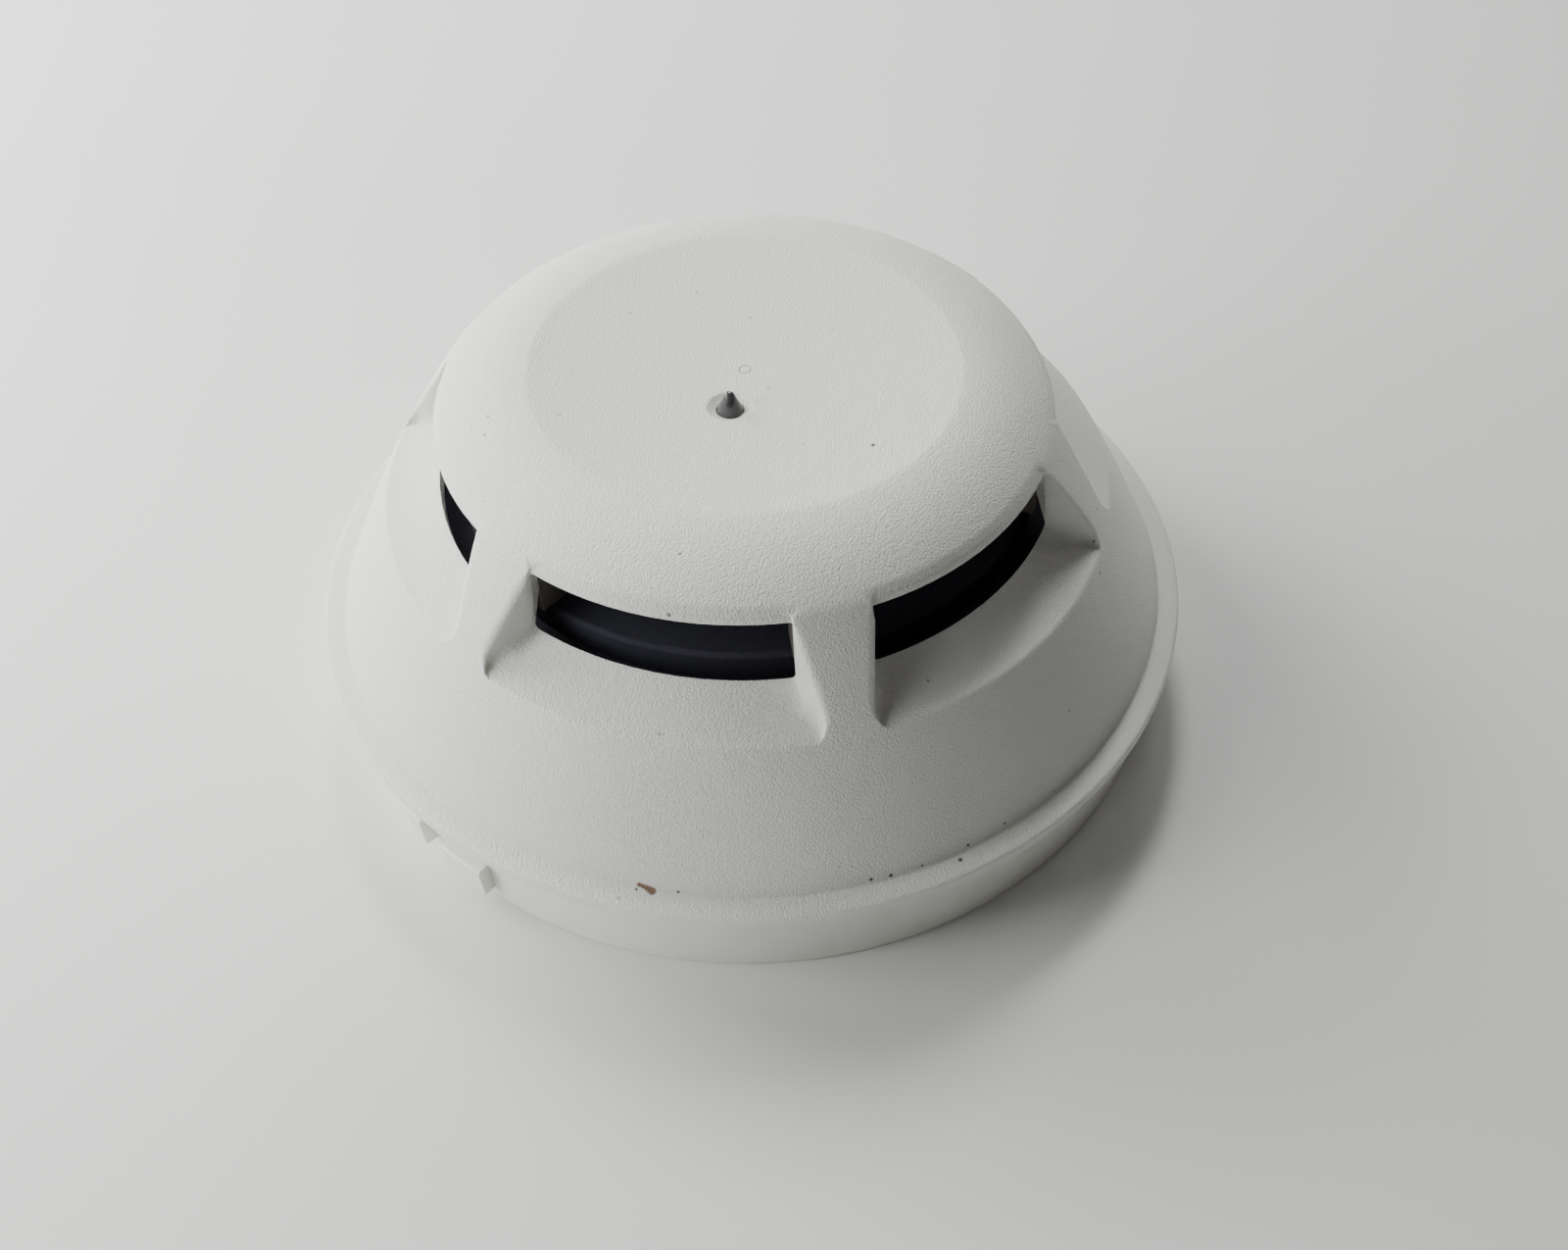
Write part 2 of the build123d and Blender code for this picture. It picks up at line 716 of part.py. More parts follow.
# ---------------------------------------------------------------- electronics
def package(length, width, height):
    """Moulded package on the board with its top edges eased."""
    body = block(length, width, board_top, board_top + height)
    return chamfer(body.edges().group_by(Axis.Z)[-1], package_edge)


def make_control_chip():
    """Small-outline chip with bent pins along both long sides."""
    body = block(chip_length, chip_width, board_top + chip_pin_thickness, board_top + chip_height)
    body = chamfer(body.edges().group_by(Axis.Z)[-1], chip_edge)
    knee = board_top + chip_height / 2
    path = Polyline(
        (chip_width / 2 - chip_edge, knee),
        (chip_width / 2 + chip_pin_reach / 3, knee),
        (chip_width / 2 + chip_pin_reach / 2, board_top + chip_pin_thickness / 2),
        (chip_width / 2 + chip_pin_reach, board_top + chip_pin_thickness / 2),
    )
    pin = extrude(Plane.YZ.offset(-chip_pin_width / 2) * trace(path, chip_pin_thickness), chip_pin_width)
    first_pin = -chip_pin_pitch * (chip_pin_count - 1) / 2
    for number in range(chip_pin_count):
        for turn in (0, 180):
            body += Rot(0, 0, turn) * Pos(first_pin + number * chip_pin_pitch, 0, 0) * pin
    return Pos(chip_x, chip_y, 0) * body


def make_electrolytic_capacitor():
    """Aluminium can on a square moulded base."""
    base = block(can_base_width, can_base_width, board_top, board_top + can_base_height)
    base = chamfer(base.edges().filter_by(Axis.Z).group_by(Axis.X)[-1], can_base_height)
    can = rod(can_radius, board_top + can_base_height, board_top + can_base_height + can_height)
    can = fillet(can.edges().group_by(Axis.Z)[-1], can_round)
    return Pos(can_x, can_y, 0) * (base + can)


def make_crystal():
    """Low metal can of the timing crystal, with round ends."""
    plan = SlotOverall(crystal_length, crystal_width)
    can = Pos(crystal_x, crystal_y, board_top) * extrude(plan, crystal_height)
    return fillet(can.edges().group_by(Axis.Z)[-1], package_edge)


def make_transistors():
    """Small switching transistors in a row."""
    body = package(transistor_length, transistor_width, transistor_height)
    first = -transistor_pitch * (transistor_count - 1) / 2
    return group(
        Pos(transistor_x, first + number * transistor_pitch, 0) * body
        for number in range(transistor_count)
    )


def make_small_parts(x, rows, height):
    """Two columns of little chip parts, such as resistors."""
    body = block(chip_part_length, chip_part_width, board_top, board_top + height)
    return group(
        Pos(x + side * small_part_pitch / 2, small_part_y + row * small_part_pitch, 0) * body
        for side in (-1, 1)
        for row in range(rows)
    )


def reed_height():
    """Height of the reed switch's own axis."""
    return board_top + reed_lift + reed_radius


def make_reed_switch():
    """Sealed glass tube of the magnet-operated test switch."""
    tube = Rot(0, 90, 0) * Cylinder(reed_radius, reed_length)
    tube = fillet(tube.edges().filter_by(GeomType.CIRCLE), reed_round)
    return reed_place * Pos(0, 0, reed_height()) * tube


def make_reed_leads():
    """Bent leads of the reed switch, down through the board."""
    start = reed_length / 2
    path = FilletPolyline(
        (start, 0, reed_height()),
        (start + reed_lead_run, 0, reed_height()),
        (start + reed_lead_run, 0, board_bottom - lead_tail),
        radius=reed_lead_bend,
    )
    lead = sweep(Plane(path @ 0, z_dir=path % 0) * Circle(reed_lead_radius), path)
    return group(reed_place * Rot(0, 0, turn) * lead for turn in (0, 180))


# ---------------------------------------------------------------- all the pieces
sensor_bead_bottom = shield_top + sensor_collar_height + sensor_bead_lift
reference_bead_bottom = board_top + reference_bead_lift
nodes = {
    "outer_cover": make_outer_cover(),
    "back_housing": make_back_housing(),
    "inner_shield": make_inner_shield(),
    "light_pipe": make_light_pipe(),
    "status_led": make_status_led(),
    "circuit_board": make_circuit_board(),
    "sensing_thermistor": make_bead(sensor_place, sensor_bead_bottom),
    "sensing_leads": make_leads(sensor_place, sensor_bead_bottom),
    "reference_thermistor": make_bead(reference_place, reference_bead_bottom),
    "reference_leads": make_leads(reference_place, reference_bead_bottom),
    "contact_screws": make_contact_screws(),
    "contact_nuts": make_contact_nuts(),
    "shield_screws": make_shield_screws(),
    "control_chip": make_control_chip(),
    "bridge_rectifier": Pos(bridge_x, bridge_y, 0) * package(bridge_length, bridge_width, bridge_height),
    "surge_clamp": Pos(clamp_x, clamp_y, 0) * package(clamp_length, clamp_width, clamp_height),
    "electrolytic_capacitor": make_electrolytic_capacitor(),
    "timing_crystal": make_crystal(),
    "transistors": make_transistors(),
    "resistors": make_small_parts(resistor_x, resistor_rows, resistor_height),
    "ceramic_capacitors": make_small_parts(capacitor_x, capacitor_rows, capacitor_height),
    "reed_switch": make_reed_switch(),
    "reed_leads": make_reed_leads(),
}
for number, angle in enumerate(around(contact_count, first_contact_angle), start=1):
    nodes[f"contact_blade_{number}"] = make_contact_blade(angle)

os.makedirs("parts", exist_ok=True)
for name, shape in nodes.items():
    export_step(shape, f"parts/{name}.step")
    print(name, len(shape.solids()), round(shape.volume, 1))
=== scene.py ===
# %% [markdown]
# A plug-in heat detector head, dressed around its CAD model.
# The CAD model is loaded first and never moved, so every surface and finish below
# shares its frame: metres, with Z along the head's axis and z = 0 at the skirt's rim.
# New surfaces are worked out in millimetres, the unit a toolmaker would use, and are
# scaled once when they become a mesh.

# %% Load the frame and keep its box
from math import cos, pi, radians, sin

import bmesh
import bpy
import numpy as np
from mathutils import Matrix, Vector


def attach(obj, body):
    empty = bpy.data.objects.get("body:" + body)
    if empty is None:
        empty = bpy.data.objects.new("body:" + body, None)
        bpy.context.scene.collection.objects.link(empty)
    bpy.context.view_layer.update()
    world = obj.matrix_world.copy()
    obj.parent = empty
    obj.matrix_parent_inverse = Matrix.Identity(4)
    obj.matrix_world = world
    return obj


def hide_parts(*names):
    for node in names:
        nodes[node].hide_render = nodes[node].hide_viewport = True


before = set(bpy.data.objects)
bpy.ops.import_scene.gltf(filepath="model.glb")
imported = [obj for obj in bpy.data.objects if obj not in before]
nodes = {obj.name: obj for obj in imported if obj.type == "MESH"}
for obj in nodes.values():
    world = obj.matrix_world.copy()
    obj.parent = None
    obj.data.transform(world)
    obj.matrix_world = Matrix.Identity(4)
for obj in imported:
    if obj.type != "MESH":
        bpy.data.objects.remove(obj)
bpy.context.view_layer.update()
MM = 0.001

# %% [markdown]
# The camera stands about 19 cm from the head, high over its front right side, and is
# rolled a little, as a hand-held one is. Its view is the part of a wider one that lies
# left of the middle and above it, which is what a lens shift gives.

# %% The camera
camera_azimuth = radians(18.5)
camera_elevation = radians(47.53)
camera_distance = 190.7 * MM
camera_aim = Vector((26.25, -34.41, 20.0)) * MM
camera_roll = radians(3.58)

camera_place = camera_distance * Vector((
    sin(camera_azimuth) * cos(camera_elevation),
    -cos(camera_azimuth) * cos(camera_elevation),
    sin(camera_elevation),
))
ahead = (camera_aim - camera_place).normalized()
level = ahead.cross(Vector((0, 0, 1))).normalized()
upright = level.cross(ahead)
right = level * cos(camera_roll) + upright * sin(camera_roll)
above = upright * cos(camera_roll) - level * sin(camera_roll)

camera_data = bpy.data.cameras.new("camera")
camera_data.lens = 33.78
camera_data.sensor_width = 36.0
camera_data.shift_x = -0.0818
camera_data.shift_y = 0.1025
camera_data.clip_start = 0.01
camera = bpy.data.objects.new("camera", camera_data)
turn = Matrix((right, above, -ahead)).transposed()
camera.matrix_world = Matrix.Translation(camera_place) @ turn.to_4x4()
bpy.context.scene.collection.objects.link(camera)
bpy.context.scene.camera = camera
print("camera at", tuple(round(value, 4) for value in camera_place))

# %% [markdown]
# The head lies on a pale table. A broad soft lamp stands low and near on its left, so the
# table and the cover glow there and the right side falls into shade. Three smaller ones
# in front of it round the cone off. Four behind it throw the narrow shadow in front of
# the skirt and lift the far side of the table. The sky fills the rest with a dim, warm light.

# %% The stage: table, lamps and sky
def area_lamp(name, azimuth, elevation, distance, size, energy, color):
    """Square lamp that looks at the head from a compass direction and a height."""
    data = bpy.data.lights.new(name, "AREA")
    data.energy = energy
    data.size = size
    data.color = color
    lamp = bpy.data.objects.new(name, data)
    across = distance * cos(radians(elevation))
    place = Vector((
        across * sin(radians(azimuth)),
        -across * cos(radians(azimuth)),
        distance * sin(radians(elevation)),
    ))
    lamp.location = place
    lamp.rotation_euler = place.to_track_quat("Z", "Y").to_euler()
    bpy.context.scene.collection.objects.link(lamp)
    return lamp


table_size = 4.0
table_mesh = bpy.data.meshes.new("table")
edge = table_size / 2
table_corners = [(-edge, -edge, 0), (edge, -edge, 0), (edge, edge, 0), (-edge, edge, 0)]
table_mesh.from_pydata(table_corners, [], [(0, 1, 2, 3)])
table = bpy.data.objects.new("table", table_mesh)
bpy.context.scene.collection.objects.link(table)

greenish, neutral = (0.98, 1.0, 0.96), (1.0, 1.0, 1.0)
for name, azimuth, elevation, distance, size, energy, color in (
    ("left_lamp", -110, 25, 0.5, 0.3, 3.9, greenish),
    ("near_lamp", -60, 35, 0.35, 0.2, 0.69, greenish),
    ("low_lamp", -60, 15, 0.8, 0.25, 2.0, neutral),
    ("front_lamp", -30, 15, 0.8, 0.25, 0.5, neutral),
    ("rear_lamp", -150, 35, 0.8, 0.25, 0.8, neutral),
    ("high_rear_lamp", -165, 50, 0.8, 0.15, 2.6, neutral),
    ("back_lamp", 180, 35, 0.8, 0.25, 0.8, neutral),
    ("right_rear_lamp", 150, 35, 0.8, 0.25, 0.35, neutral),
):
    area_lamp(name, azimuth, elevation, distance, size, energy, color)

world = bpy.data.worlds.new("sky")
world.use_nodes = True
world.node_tree.nodes["Background"].inputs["Color"].default_value = (1.0, 0.94, 0.89, 1)
world.node_tree.nodes["Background"].inputs["Strength"].default_value = 0.05
bpy.context.scene.world = world

# %% [markdown]
# Every finish is a small graph of shader nodes. The helpers here keep the graphs short:
# one starts a finish, one adds a node with its settings, and the others give the two
# patterns that almost every moulded or machined surface shows, mottling and fine relief.

# %% Helpers for finishes
class Finish:
    """A material whose node graph is built by short calls."""

    def __init__(self, name, color, roughness, metallic=0.0, **sockets):
        self.material = bpy.data.materials.new(name)
        self.material.use_nodes = True
        self.tree = self.material.node_tree
        self.shader = self.tree.nodes["Principled BSDF"]
        self.shader.inputs["Base Color"].default_value = (*color, 1)
        self.shader.inputs["Roughness"].default_value = roughness
        self.shader.inputs["Metallic"].default_value = metallic
        for socket, value in sockets.items():
            self.shader.inputs[socket.replace("_", " ")].default_value = value
        self.place = self.add("ShaderNodeTexCoord").outputs["Object"]

    def feed(self, socket, value):
        """Links another socket to this one, or sets its value."""
        if isinstance(value, bpy.types.NodeSocket):
            self.tree.links.new(value, socket)
        elif isinstance(value, tuple) and len(value) < len(getattr(socket, "default_value", ())):
            socket.default_value = (*value, 1)
        else:
            socket.default_value = value

    def add(self, kind, settings=None, **inputs):
        """Node of a kind, with settings, and with inputs that are values or other sockets.
        An input's name has underscores for spaces, or is i and its number."""
        node = self.tree.nodes.new(kind)
        for key, value in (settings or {}).items():
            setattr(node, key, value)
        for key, value in inputs.items():
            numbered = key[0] == "i" and key[1:].isdigit()
            self.feed(node.inputs[int(key[1:]) if numbered else key.replace("_", " ")], value)
        return node

    def noise(self, size, detail=2.0, place=None):
        """Grey noise whose blobs are about as wide as size, in millimetres."""
        node = self.add("ShaderNodeTexNoise", Vector=place or self.place, Scale=1 / (size * MM), Detail=detail)
        return node.outputs["Fac"]

    def spread(self, value, low, high, to_low=0.0, to_high=1.0):
        """A value stretched from one range to another, and kept inside it."""
        node = self.add("ShaderNodeMapRange", Value=value, From_Min=low, From_Max=high, To_Min=to_low,
                        To_Max=to_high)
        return node.outputs["Result"]

    def mix(self, amount, first, second):
        """Colour between two others."""
        node = self.add("ShaderNodeMix", {"data_type": "RGBA"}, i0=amount, i6=first, i7=second)
        return node.outputs[2]

    def math(self, operation, first, second=0.0):
        """Sum, product or other operation of two numbers."""
        return self.add("ShaderNodeMath", {"operation": operation}, i0=first, i1=second).outputs[0]

    def color(self, value):
        """Feeds the base colour."""
        self.tree.links.new(value, self.shader.inputs["Base Color"])
        return self

    def roughness(self, value):
        """Feeds the roughness."""
        self.tree.links.new(value, self.shader.inputs["Roughness"])
        return self

    def relief(self, height, depth):
        """Fine relief of a depth in millimetres, from a grey height pattern."""
        bump = self.add("ShaderNodeBump", Height=height, Distance=depth * MM, Strength=1.0)
        self.tree.links.new(bump.outputs["Normal"], self.shader.inputs["Normal"])
        return self


def dress(finish, *names):
    """Gives a finish to CAD nodes by filling their material slots."""
    for name in names:
        slots = nodes[name].material_slots
        for slot in slots:
            slot.material = finish.material
        if not slots:
            nodes[name].data.materials.append(finish.material)


print("helpers ready")

# %% [markdown]
# The cover is one thin moulding: a lip, a cone with six pockets, windows under a rounded
# shoulder, and a dished cap. Every rim of the real one is rounded, which a CAD solid with
# such crossing surfaces leaves sharp. So its skin is worked out again as two grids, an
# outer and an inner one. Rows run from the bottom edge up the cone to the hole in the
# dish, and columns run round the axis, closer together where a pocket's wall stands.

# %% Outline of the cover
lip_radius, lip_bottom, lip_top = 51.0, 10.8, 12.3
spigot_outer, spigot_inner, spigot_bottom = 47.15, 45.55, 7.8
cone_foot, cone_bulge = 48.4, 0.85
shoulder, dish_edge = np.array((33.2, 37.6)), np.array((22.9, 41.4))
dish_floor, cap_bulge = 40.5, 0.75
window_radius, brow_radius, window_sill, window_head = 34.1, 33.25, 29.8, 36.7
window_half_angle, pocket_half_angle = radians(23.2), radians(27.0)
pocket_lip_height, pocket_floor_sag, pocket_wall = 27.0, 0.35, 1.6
hole_offset, hole_radius, sink_radius, sink_depth = 6.3, 1.5, 2.35, 0.4


def straight(first, last, count=120):
    """Points along a line: the first end plus an even share of the way to the last."""
    share = np.linspace(0, 1, count)[:, None]
    return np.asarray(first, float) * (1 - share) + np.asarray(last, float) * share


def bowed(first, last, bulge, count=240):
    """Points of a shallow circular arc: its radius follows from the chord and the bulge,
    and each point lies at that radius from the centre behind the chord's middle."""
    first, last = np.asarray(first, float), np.asarray(last, float)
    chord = np.linalg.norm(last - first)
    radius = (chord ** 2 / 4 + bulge ** 2) / (2 * bulge)
    along = (last - first) / chord
    out = np.array((-along[1], along[0])) * np.sign(bulge)
    across = np.linspace(-chord / 2, chord / 2, count)[:, None]
    lift = np.sqrt(radius ** 2 - across ** 2) - (abs(radius) - abs(bulge))
    return (first + last) / 2 + along * across + out * lift


def rounded_chain(sides, radii):
    """Curves joined end to end, with each corner cut back by radius times tan(half the turn)
    and bridged by the rational quadratic that is an exact circular arc."""
    chain = sides[0]
    for side, radius in zip(sides[1:], radii):
        before, after = chain[-1] - chain[-2], side[1] - side[0]
        turn = np.arccos(np.clip(before @ after / np.linalg.norm(before) / np.linalg.norm(after), -1, 1))
        cut = radius * np.tan(turn / 2)
        left = chain[np.linalg.norm(chain - chain[-1], axis=1) > cut]
        keep = side[np.linalg.norm(side - side[0], axis=1) > cut]
        start = chain[-1] - before / np.linalg.norm(before) * cut
        end = side[0] + after / np.linalg.norm(after) * cut
        share, weight = np.linspace(0, 1, 16)[:, None], np.cos(turn / 2)
        arc = (start * (1 - share) ** 2 + chain[-1] * 2 * weight * share * (1 - share) + end * share ** 2)
        arc = arc / ((1 - share) ** 2 + 2 * weight * share * (1 - share) + share ** 2)
        chain = np.concatenate((left, arc, keep))
    return chain


def dish_height(radius):
    """Height of the dish: its floor plus a parabola that reaches the edge."""
    return dish_floor + (dish_edge[1] - dish_floor) * (radius / dish_edge[0]) ** 2


heel = rounded_chain(
    [straight((spigot_outer, spigot_bottom), (spigot_outer, lip_bottom), 8),
     straight((spigot_outer, lip_bottom), (lip_radius, lip_bottom), 60),
     straight((lip_radius, lip_bottom), (lip_radius, lip_top), 60),
     straight((lip_radius, lip_top), (cone_foot, lip_top), 60)],
    [0.05, 0.35, 0.45])
slope = rounded_chain(
    [straight((lip_radius - 1.2, lip_top), (cone_foot, lip_top)),
     bowed((cone_foot, lip_top), shoulder, -cone_bulge),
     bowed(shoulder, dish_edge, -cap_bulge),
     np.stack((np.linspace(dish_edge[0], 0, 120), dish_height(np.linspace(dish_edge[0], 0, 120))), 1)],
    [0.45, 3.5, 2.5])
print("outline:", len(slope), "points, highest", round(slope[:, 1].max(), 3), "mm")


def slope_height(radius):
    """Height of the outer face at a radius, read from its outline."""
    return np.interp(radius, slope[::-1, 0], slope[::-1, 1])


def cone_point(height, inset):
    """Point of the cone at a height, moved in along the radius of its arc."""
    middle, chord = (np.array((cone_foot, lip_top)) + shoulder) / 2, shoulder - np.array((cone_foot, lip_top))
    length = np.linalg.norm(chord)
    arc_radius = (length ** 2 / 4 + cone_bulge ** 2) / (2 * cone_bulge)
    centre = middle - np.array((chord[1], -chord[0])) / length * (arc_radius - cone_bulge)
    return centre[0] + np.sqrt((arc_radius - inset) ** 2 - (height - centre[1]) ** 2)


pocket_lip = cone_point(pocket_lip_height, 0.0)
print("pocket lip at", round(float(pocket_lip), 2), "mm from the axis")

# %% [markdown]
# A pocket is cut down into the cone between two walls that lean a little apart. Seen
# along a row, the skin goes over a rounded rim, down the wall, round a hollow corner and
# across the floor. So each column has a sideways offset from the wall's line and a share
# of the drop, and a row only says how deep the drop is there. Where the floor comes up
# to the cone at the pocket's lip, the drop fades out and the columns spread evenly.

# %% Columns of the cover
rim_round, corner_round, sill_corner_round, lip_corner_round = 0.7, 1.8, 0.5, 2.0
quarter = np.linspace(0, pi / 2, 5)
rim_steps = np.linspace(pi / 2, 0, 5)
rib_share = np.array((0.04, 0.3, 0.65, 1.0))
wall_share = np.array((0.02, 0.5, 0.98))
floor_share = np.array((0.02, 0.1, 0.22, 0.35, 0.5, 0.65, 0.82, 1.0))
half_sector = pi / 6
round_share, spread_reach = 0.45, 1.2


def wall_angle(radius):
    """Half the angle of a pocket at a radius: constant inside the window, and outside it
    the angle of a point on the straight line from the window's corner to the lip's. Close to
    the lip the line bends in by the height of a circular arc, which rounds that corner."""
    corner = window_radius * np.array((sin(window_half_angle), cos(window_half_angle)))
    tip = pocket_lip * np.array((sin(pocket_half_angle), cos(pocket_half_angle)))
    run = tip - corner
    share = np.linspace(0, 1.6, 200)[:, None]
    line = corner + run * share
    reach = np.minimum(radius, pocket_lip + 1.0)
    angle = np.interp(reach, np.hypot(*line.T), np.arctan2(line[:, 0], line[:, 1]))
    into = np.clip((radius - pocket_lip) / lip_corner_round + 1, 0, 1)
    return angle - lip_corner_round * (1 - np.sqrt(1 - into ** 2)) / radius


def half_columns(radius, drop, spread, evenly, wall):
    """Angles from the window's middle and shares of the drop for half a sector, one row each.
    The rim and the corner are quarter circles, kept under a share of the drop, and the
    corner is tighter at the sill. Spread blends their offsets with an even run to each side
    of the wall's line. Evenly blends all the angles with equal steps, for the rows near the
    axis."""
    drop = np.maximum(drop, 1e-6)
    radius, drop, spread, evenly = (np.asarray(a)[:, None] for a in (radius, drop, spread, evenly))
    rim = np.minimum(rim_round, round_share * drop)
    corner = np.interp(radius, (window_radius, window_radius + 3), (sill_corner_round, corner_round))
    corner = np.minimum(corner, round_share * drop)
    offsets = [rim * (1 - np.sin(a)) for a in quarter] + [0 * drop] * len(wall_share)
    offsets += [-corner * (1 - np.sin(a)) for a in rim_steps]
    depths = [rim * (1 - np.cos(a)) for a in quarter]
    depths += [rim + (drop - rim - corner) * share for share in wall_share]
    depths += [drop - corner * (1 - np.cos(a)) for a in rim_steps]
    offset, depth = np.concatenate(offsets, 1), np.concatenate(depths, 1)
    even = np.linspace(spread_reach, -spread_reach, offset.shape[1])[None, :]
    offset = offset * (1 - spread) + even * spread + wall[:, None]
    middle = wall_angle(radius)
    angle = middle + offset / radius
    rib = angle[:, :1] + (half_sector - angle[:, :1]) * rib_share
    floor = angle[:, -1:] * (1 - floor_share)
    ones = np.ones_like(drop)
    angles = np.concatenate((rib[:, ::-1], angle, floor), 1)
    shares = np.concatenate((0 * rib, depth / drop, ones * np.ones(len(floor_share))), 1)
    even = np.linspace(half_sector, 0, angles.shape[1])[None, :]
    return angles * (1 - evenly) + even * evenly, shares


def turn_rows(ribs, pockets, centres, spread, evenly, wall):
    """Points of a whole skin: each goes from the rib's outline towards the pocket's by its
    share, twelve half sectors, every other one mirrored, go round the axis, and each row's
    own centre is slid towards the front."""
    drop = np.linalg.norm(pockets - ribs, axis=1)
    angles, shares = half_columns(ribs[:, 0], drop, spread, evenly, wall)
    half = ribs[:, None] + (pockets - ribs)[:, None] * shares[..., None]
    sector_angles = np.concatenate((angles, -angles[:, -2:0:-1]), 1)
    sector = np.concatenate((half, half[:, -2:0:-1]), 1)
    turned = np.concatenate([sector_angles - number * pi / 3 for number in range(6)], 1)
    outline = np.concatenate([sector] * 6, 1)
    across, along = outline[..., 0] * np.sin(turned), -outline[..., 0] * np.cos(turned)
    return np.stack((across, along - centres[:, None], outline[..., 1]), -1)


floor_column = len(rib_share) + len(quarter) + len(wall_share)
column_count = 12 * (floor_column + len(quarter) + len(floor_share) - 1)
print("columns:", column_count)


# %% [markdown]
# The rows of the outer skin start at the spigot's foot, round the lip, climb the cone
# through the pockets, pass the windows, and end in the light pipe's hole. The rows of the
# inner skin match them one to one, a wall's thickness further in, so that every border
# can be closed by a plain band of faces between equal places of the two.

# %% Rows of the cover
wall_thickness = 2.0
roof = dish_floor - wall_thickness
drop_ease = 0.3


def evened(chain, longest, sharpest):
    """Points of a chain spaced so that no step is longer than one limit or turns more than
    another: length and turning are added up along it and cut into equal parts."""
    steps = np.diff(chain, axis=0)
    heading = np.unwrap(np.arctan2(steps[:, 1], steps[:, 0]))
    turning = np.abs(np.diff(heading, prepend=heading[0]))
    effort = np.concatenate(([0], np.cumsum(np.linalg.norm(steps, axis=1) / longest + turning / sharpest)))
    marks = np.linspace(0, effort[-1], int(np.ceil(effort[-1])) + 1)
    return np.stack([np.interp(marks, effort, chain[:, axis]) for axis in (0, 1)], 1)


def on_slope(radii):
    """Points of the outer outline at the given radii."""
    return np.stack((radii, slope_height(radii)), 1)


def floor_height(radius):
    """Height of a pocket's floor: a straight fall from the sill to the lip, less a shallow
    parabola that sags between them."""
    share = (radius - window_radius) / (pocket_lip - window_radius)
    fall = (window_sill - pocket_lip_height) * share
    return window_sill - fall + 4 * pocket_floor_sag * share * (share - 1)


def eased_drop(gap, ease):
    """The positive part of a gap, with a parabola of half-width ease over its corner."""
    return np.maximum(gap, 0) + np.maximum(ease - np.abs(gap), 0) ** 2 / (4 * ease)


def eased_share(value):
    """Share from 0 to 1 that starts and ends gently: three times its square less twice its cube."""
    value = np.clip(value, 0, 1)
    return value ** 2 * (3 - 2 * value)


heel_rows = evened(heel, 1.6, radians(16))
foot_rows = evened(slope[(slope[:, 0] > 46.9) & (slope[:, 0] < 48.9)], 0.8, radians(14))
heel_rows = heel_rows[:np.flatnonzero(heel_rows[:, 0] > foot_rows[0, 0])[-1] + 1]
climb = np.concatenate((np.linspace(46.5, 42.2, 11), np.linspace(41.8, 39.9, 14),
                        np.linspace(39.5, window_radius, 15)))
brow = np.array((33.95, 33.8, 33.65, 33.45, 33.25, 32.95, 32.55))
cap = np.concatenate((np.linspace(32.1, 30.5, 4), np.linspace(29.7, 24.1, 8),
                      (23.5, 23.15, 23.0, 22.9, 22.8, 22.65, 22.3), np.linspace(21.4, 12.0, 8)))
sink_rows = (sink_radius + 0.12, sink_radius, sink_radius - 0.08)
ring_radii = np.array((9.5, 7.2, 5.2, 3.9, 3.0) + sink_rows + (hole_radius,) * 3)
ring_drops = np.array((0, 0, 0, 0, 0, 0, 0.02, 0.08, sink_depth, wall_thickness / 2, wall_thickness))
first_climb = len(heel_rows) + len(foot_rows)
sill_row = first_climb + len(climb) - 1
first_cap = sill_row + 1 + len(brow)

outer_ribs = np.concatenate((heel_rows, foot_rows, on_slope(climb), on_slope(brow), on_slope(cap),
                             np.stack((ring_radii, dish_floor - ring_drops), 1)))
outer_pockets = outer_ribs.copy()
outer_pockets[first_climb:sill_row + 1, 1] -= eased_drop(slope_height(climb) - floor_height(climb), drop_ease)
brow_top = slope_height(brow_radius)
outer_pockets[sill_row + 1:first_cap] = (
    (brow_radius - 0.3, window_head), (brow_radius - 0.07, window_head + 0.06),
    (brow_radius - 0.01, window_head + 0.2), (brow_radius - 0.05, window_head + 0.36),
    (brow_radius - 0.2, brow_top - 0.12), (brow_radius - 0.42, brow_top + 0.02),
    (brow[-1], slope_height(brow[-1])))

spigot_rows = np.array(((spigot_inner, spigot_bottom), (spigot_inner, lip_bottom - 1),
                        (cone_point(lip_top, wall_thickness), lip_top)))
shares = np.linspace(0, 1, first_climb)
inner_start = np.stack([np.interp(shares, (0, 0.4, 1), spigot_rows[:, axis]) for axis in (0, 1)], 1)
heights = np.linspace(lip_top, shoulder[1] - wall_thickness, 200)
inner_cone = cone_point(heights, wall_thickness)
inner_climb = np.concatenate((np.linspace(inner_cone[0] - 0.2, 42.0, 11), climb[11:] - 0.2))
inner_brow = np.linspace(inner_climb[-1] - 0.2, inner_cone[-1], len(brow))
inner_cap = np.concatenate((np.linspace(inner_cone[-1] - 0.5, 29.0, 6), np.linspace(28.6, 23.0, 9),
                            np.linspace(22.0, 12.0, len(cap) - 15)))


def roof_height(radius):
    """Height of the cap's underside: level in the middle, then a straight fall to the cone."""
    return np.interp(radius, (dish_edge[0], inner_cone[-1]), (roof, heights[-1]))


def inner_height(radius):
    """Height of the inner face of the cone at a radius."""
    return np.interp(radius, inner_cone[::-1], heights[::-1])


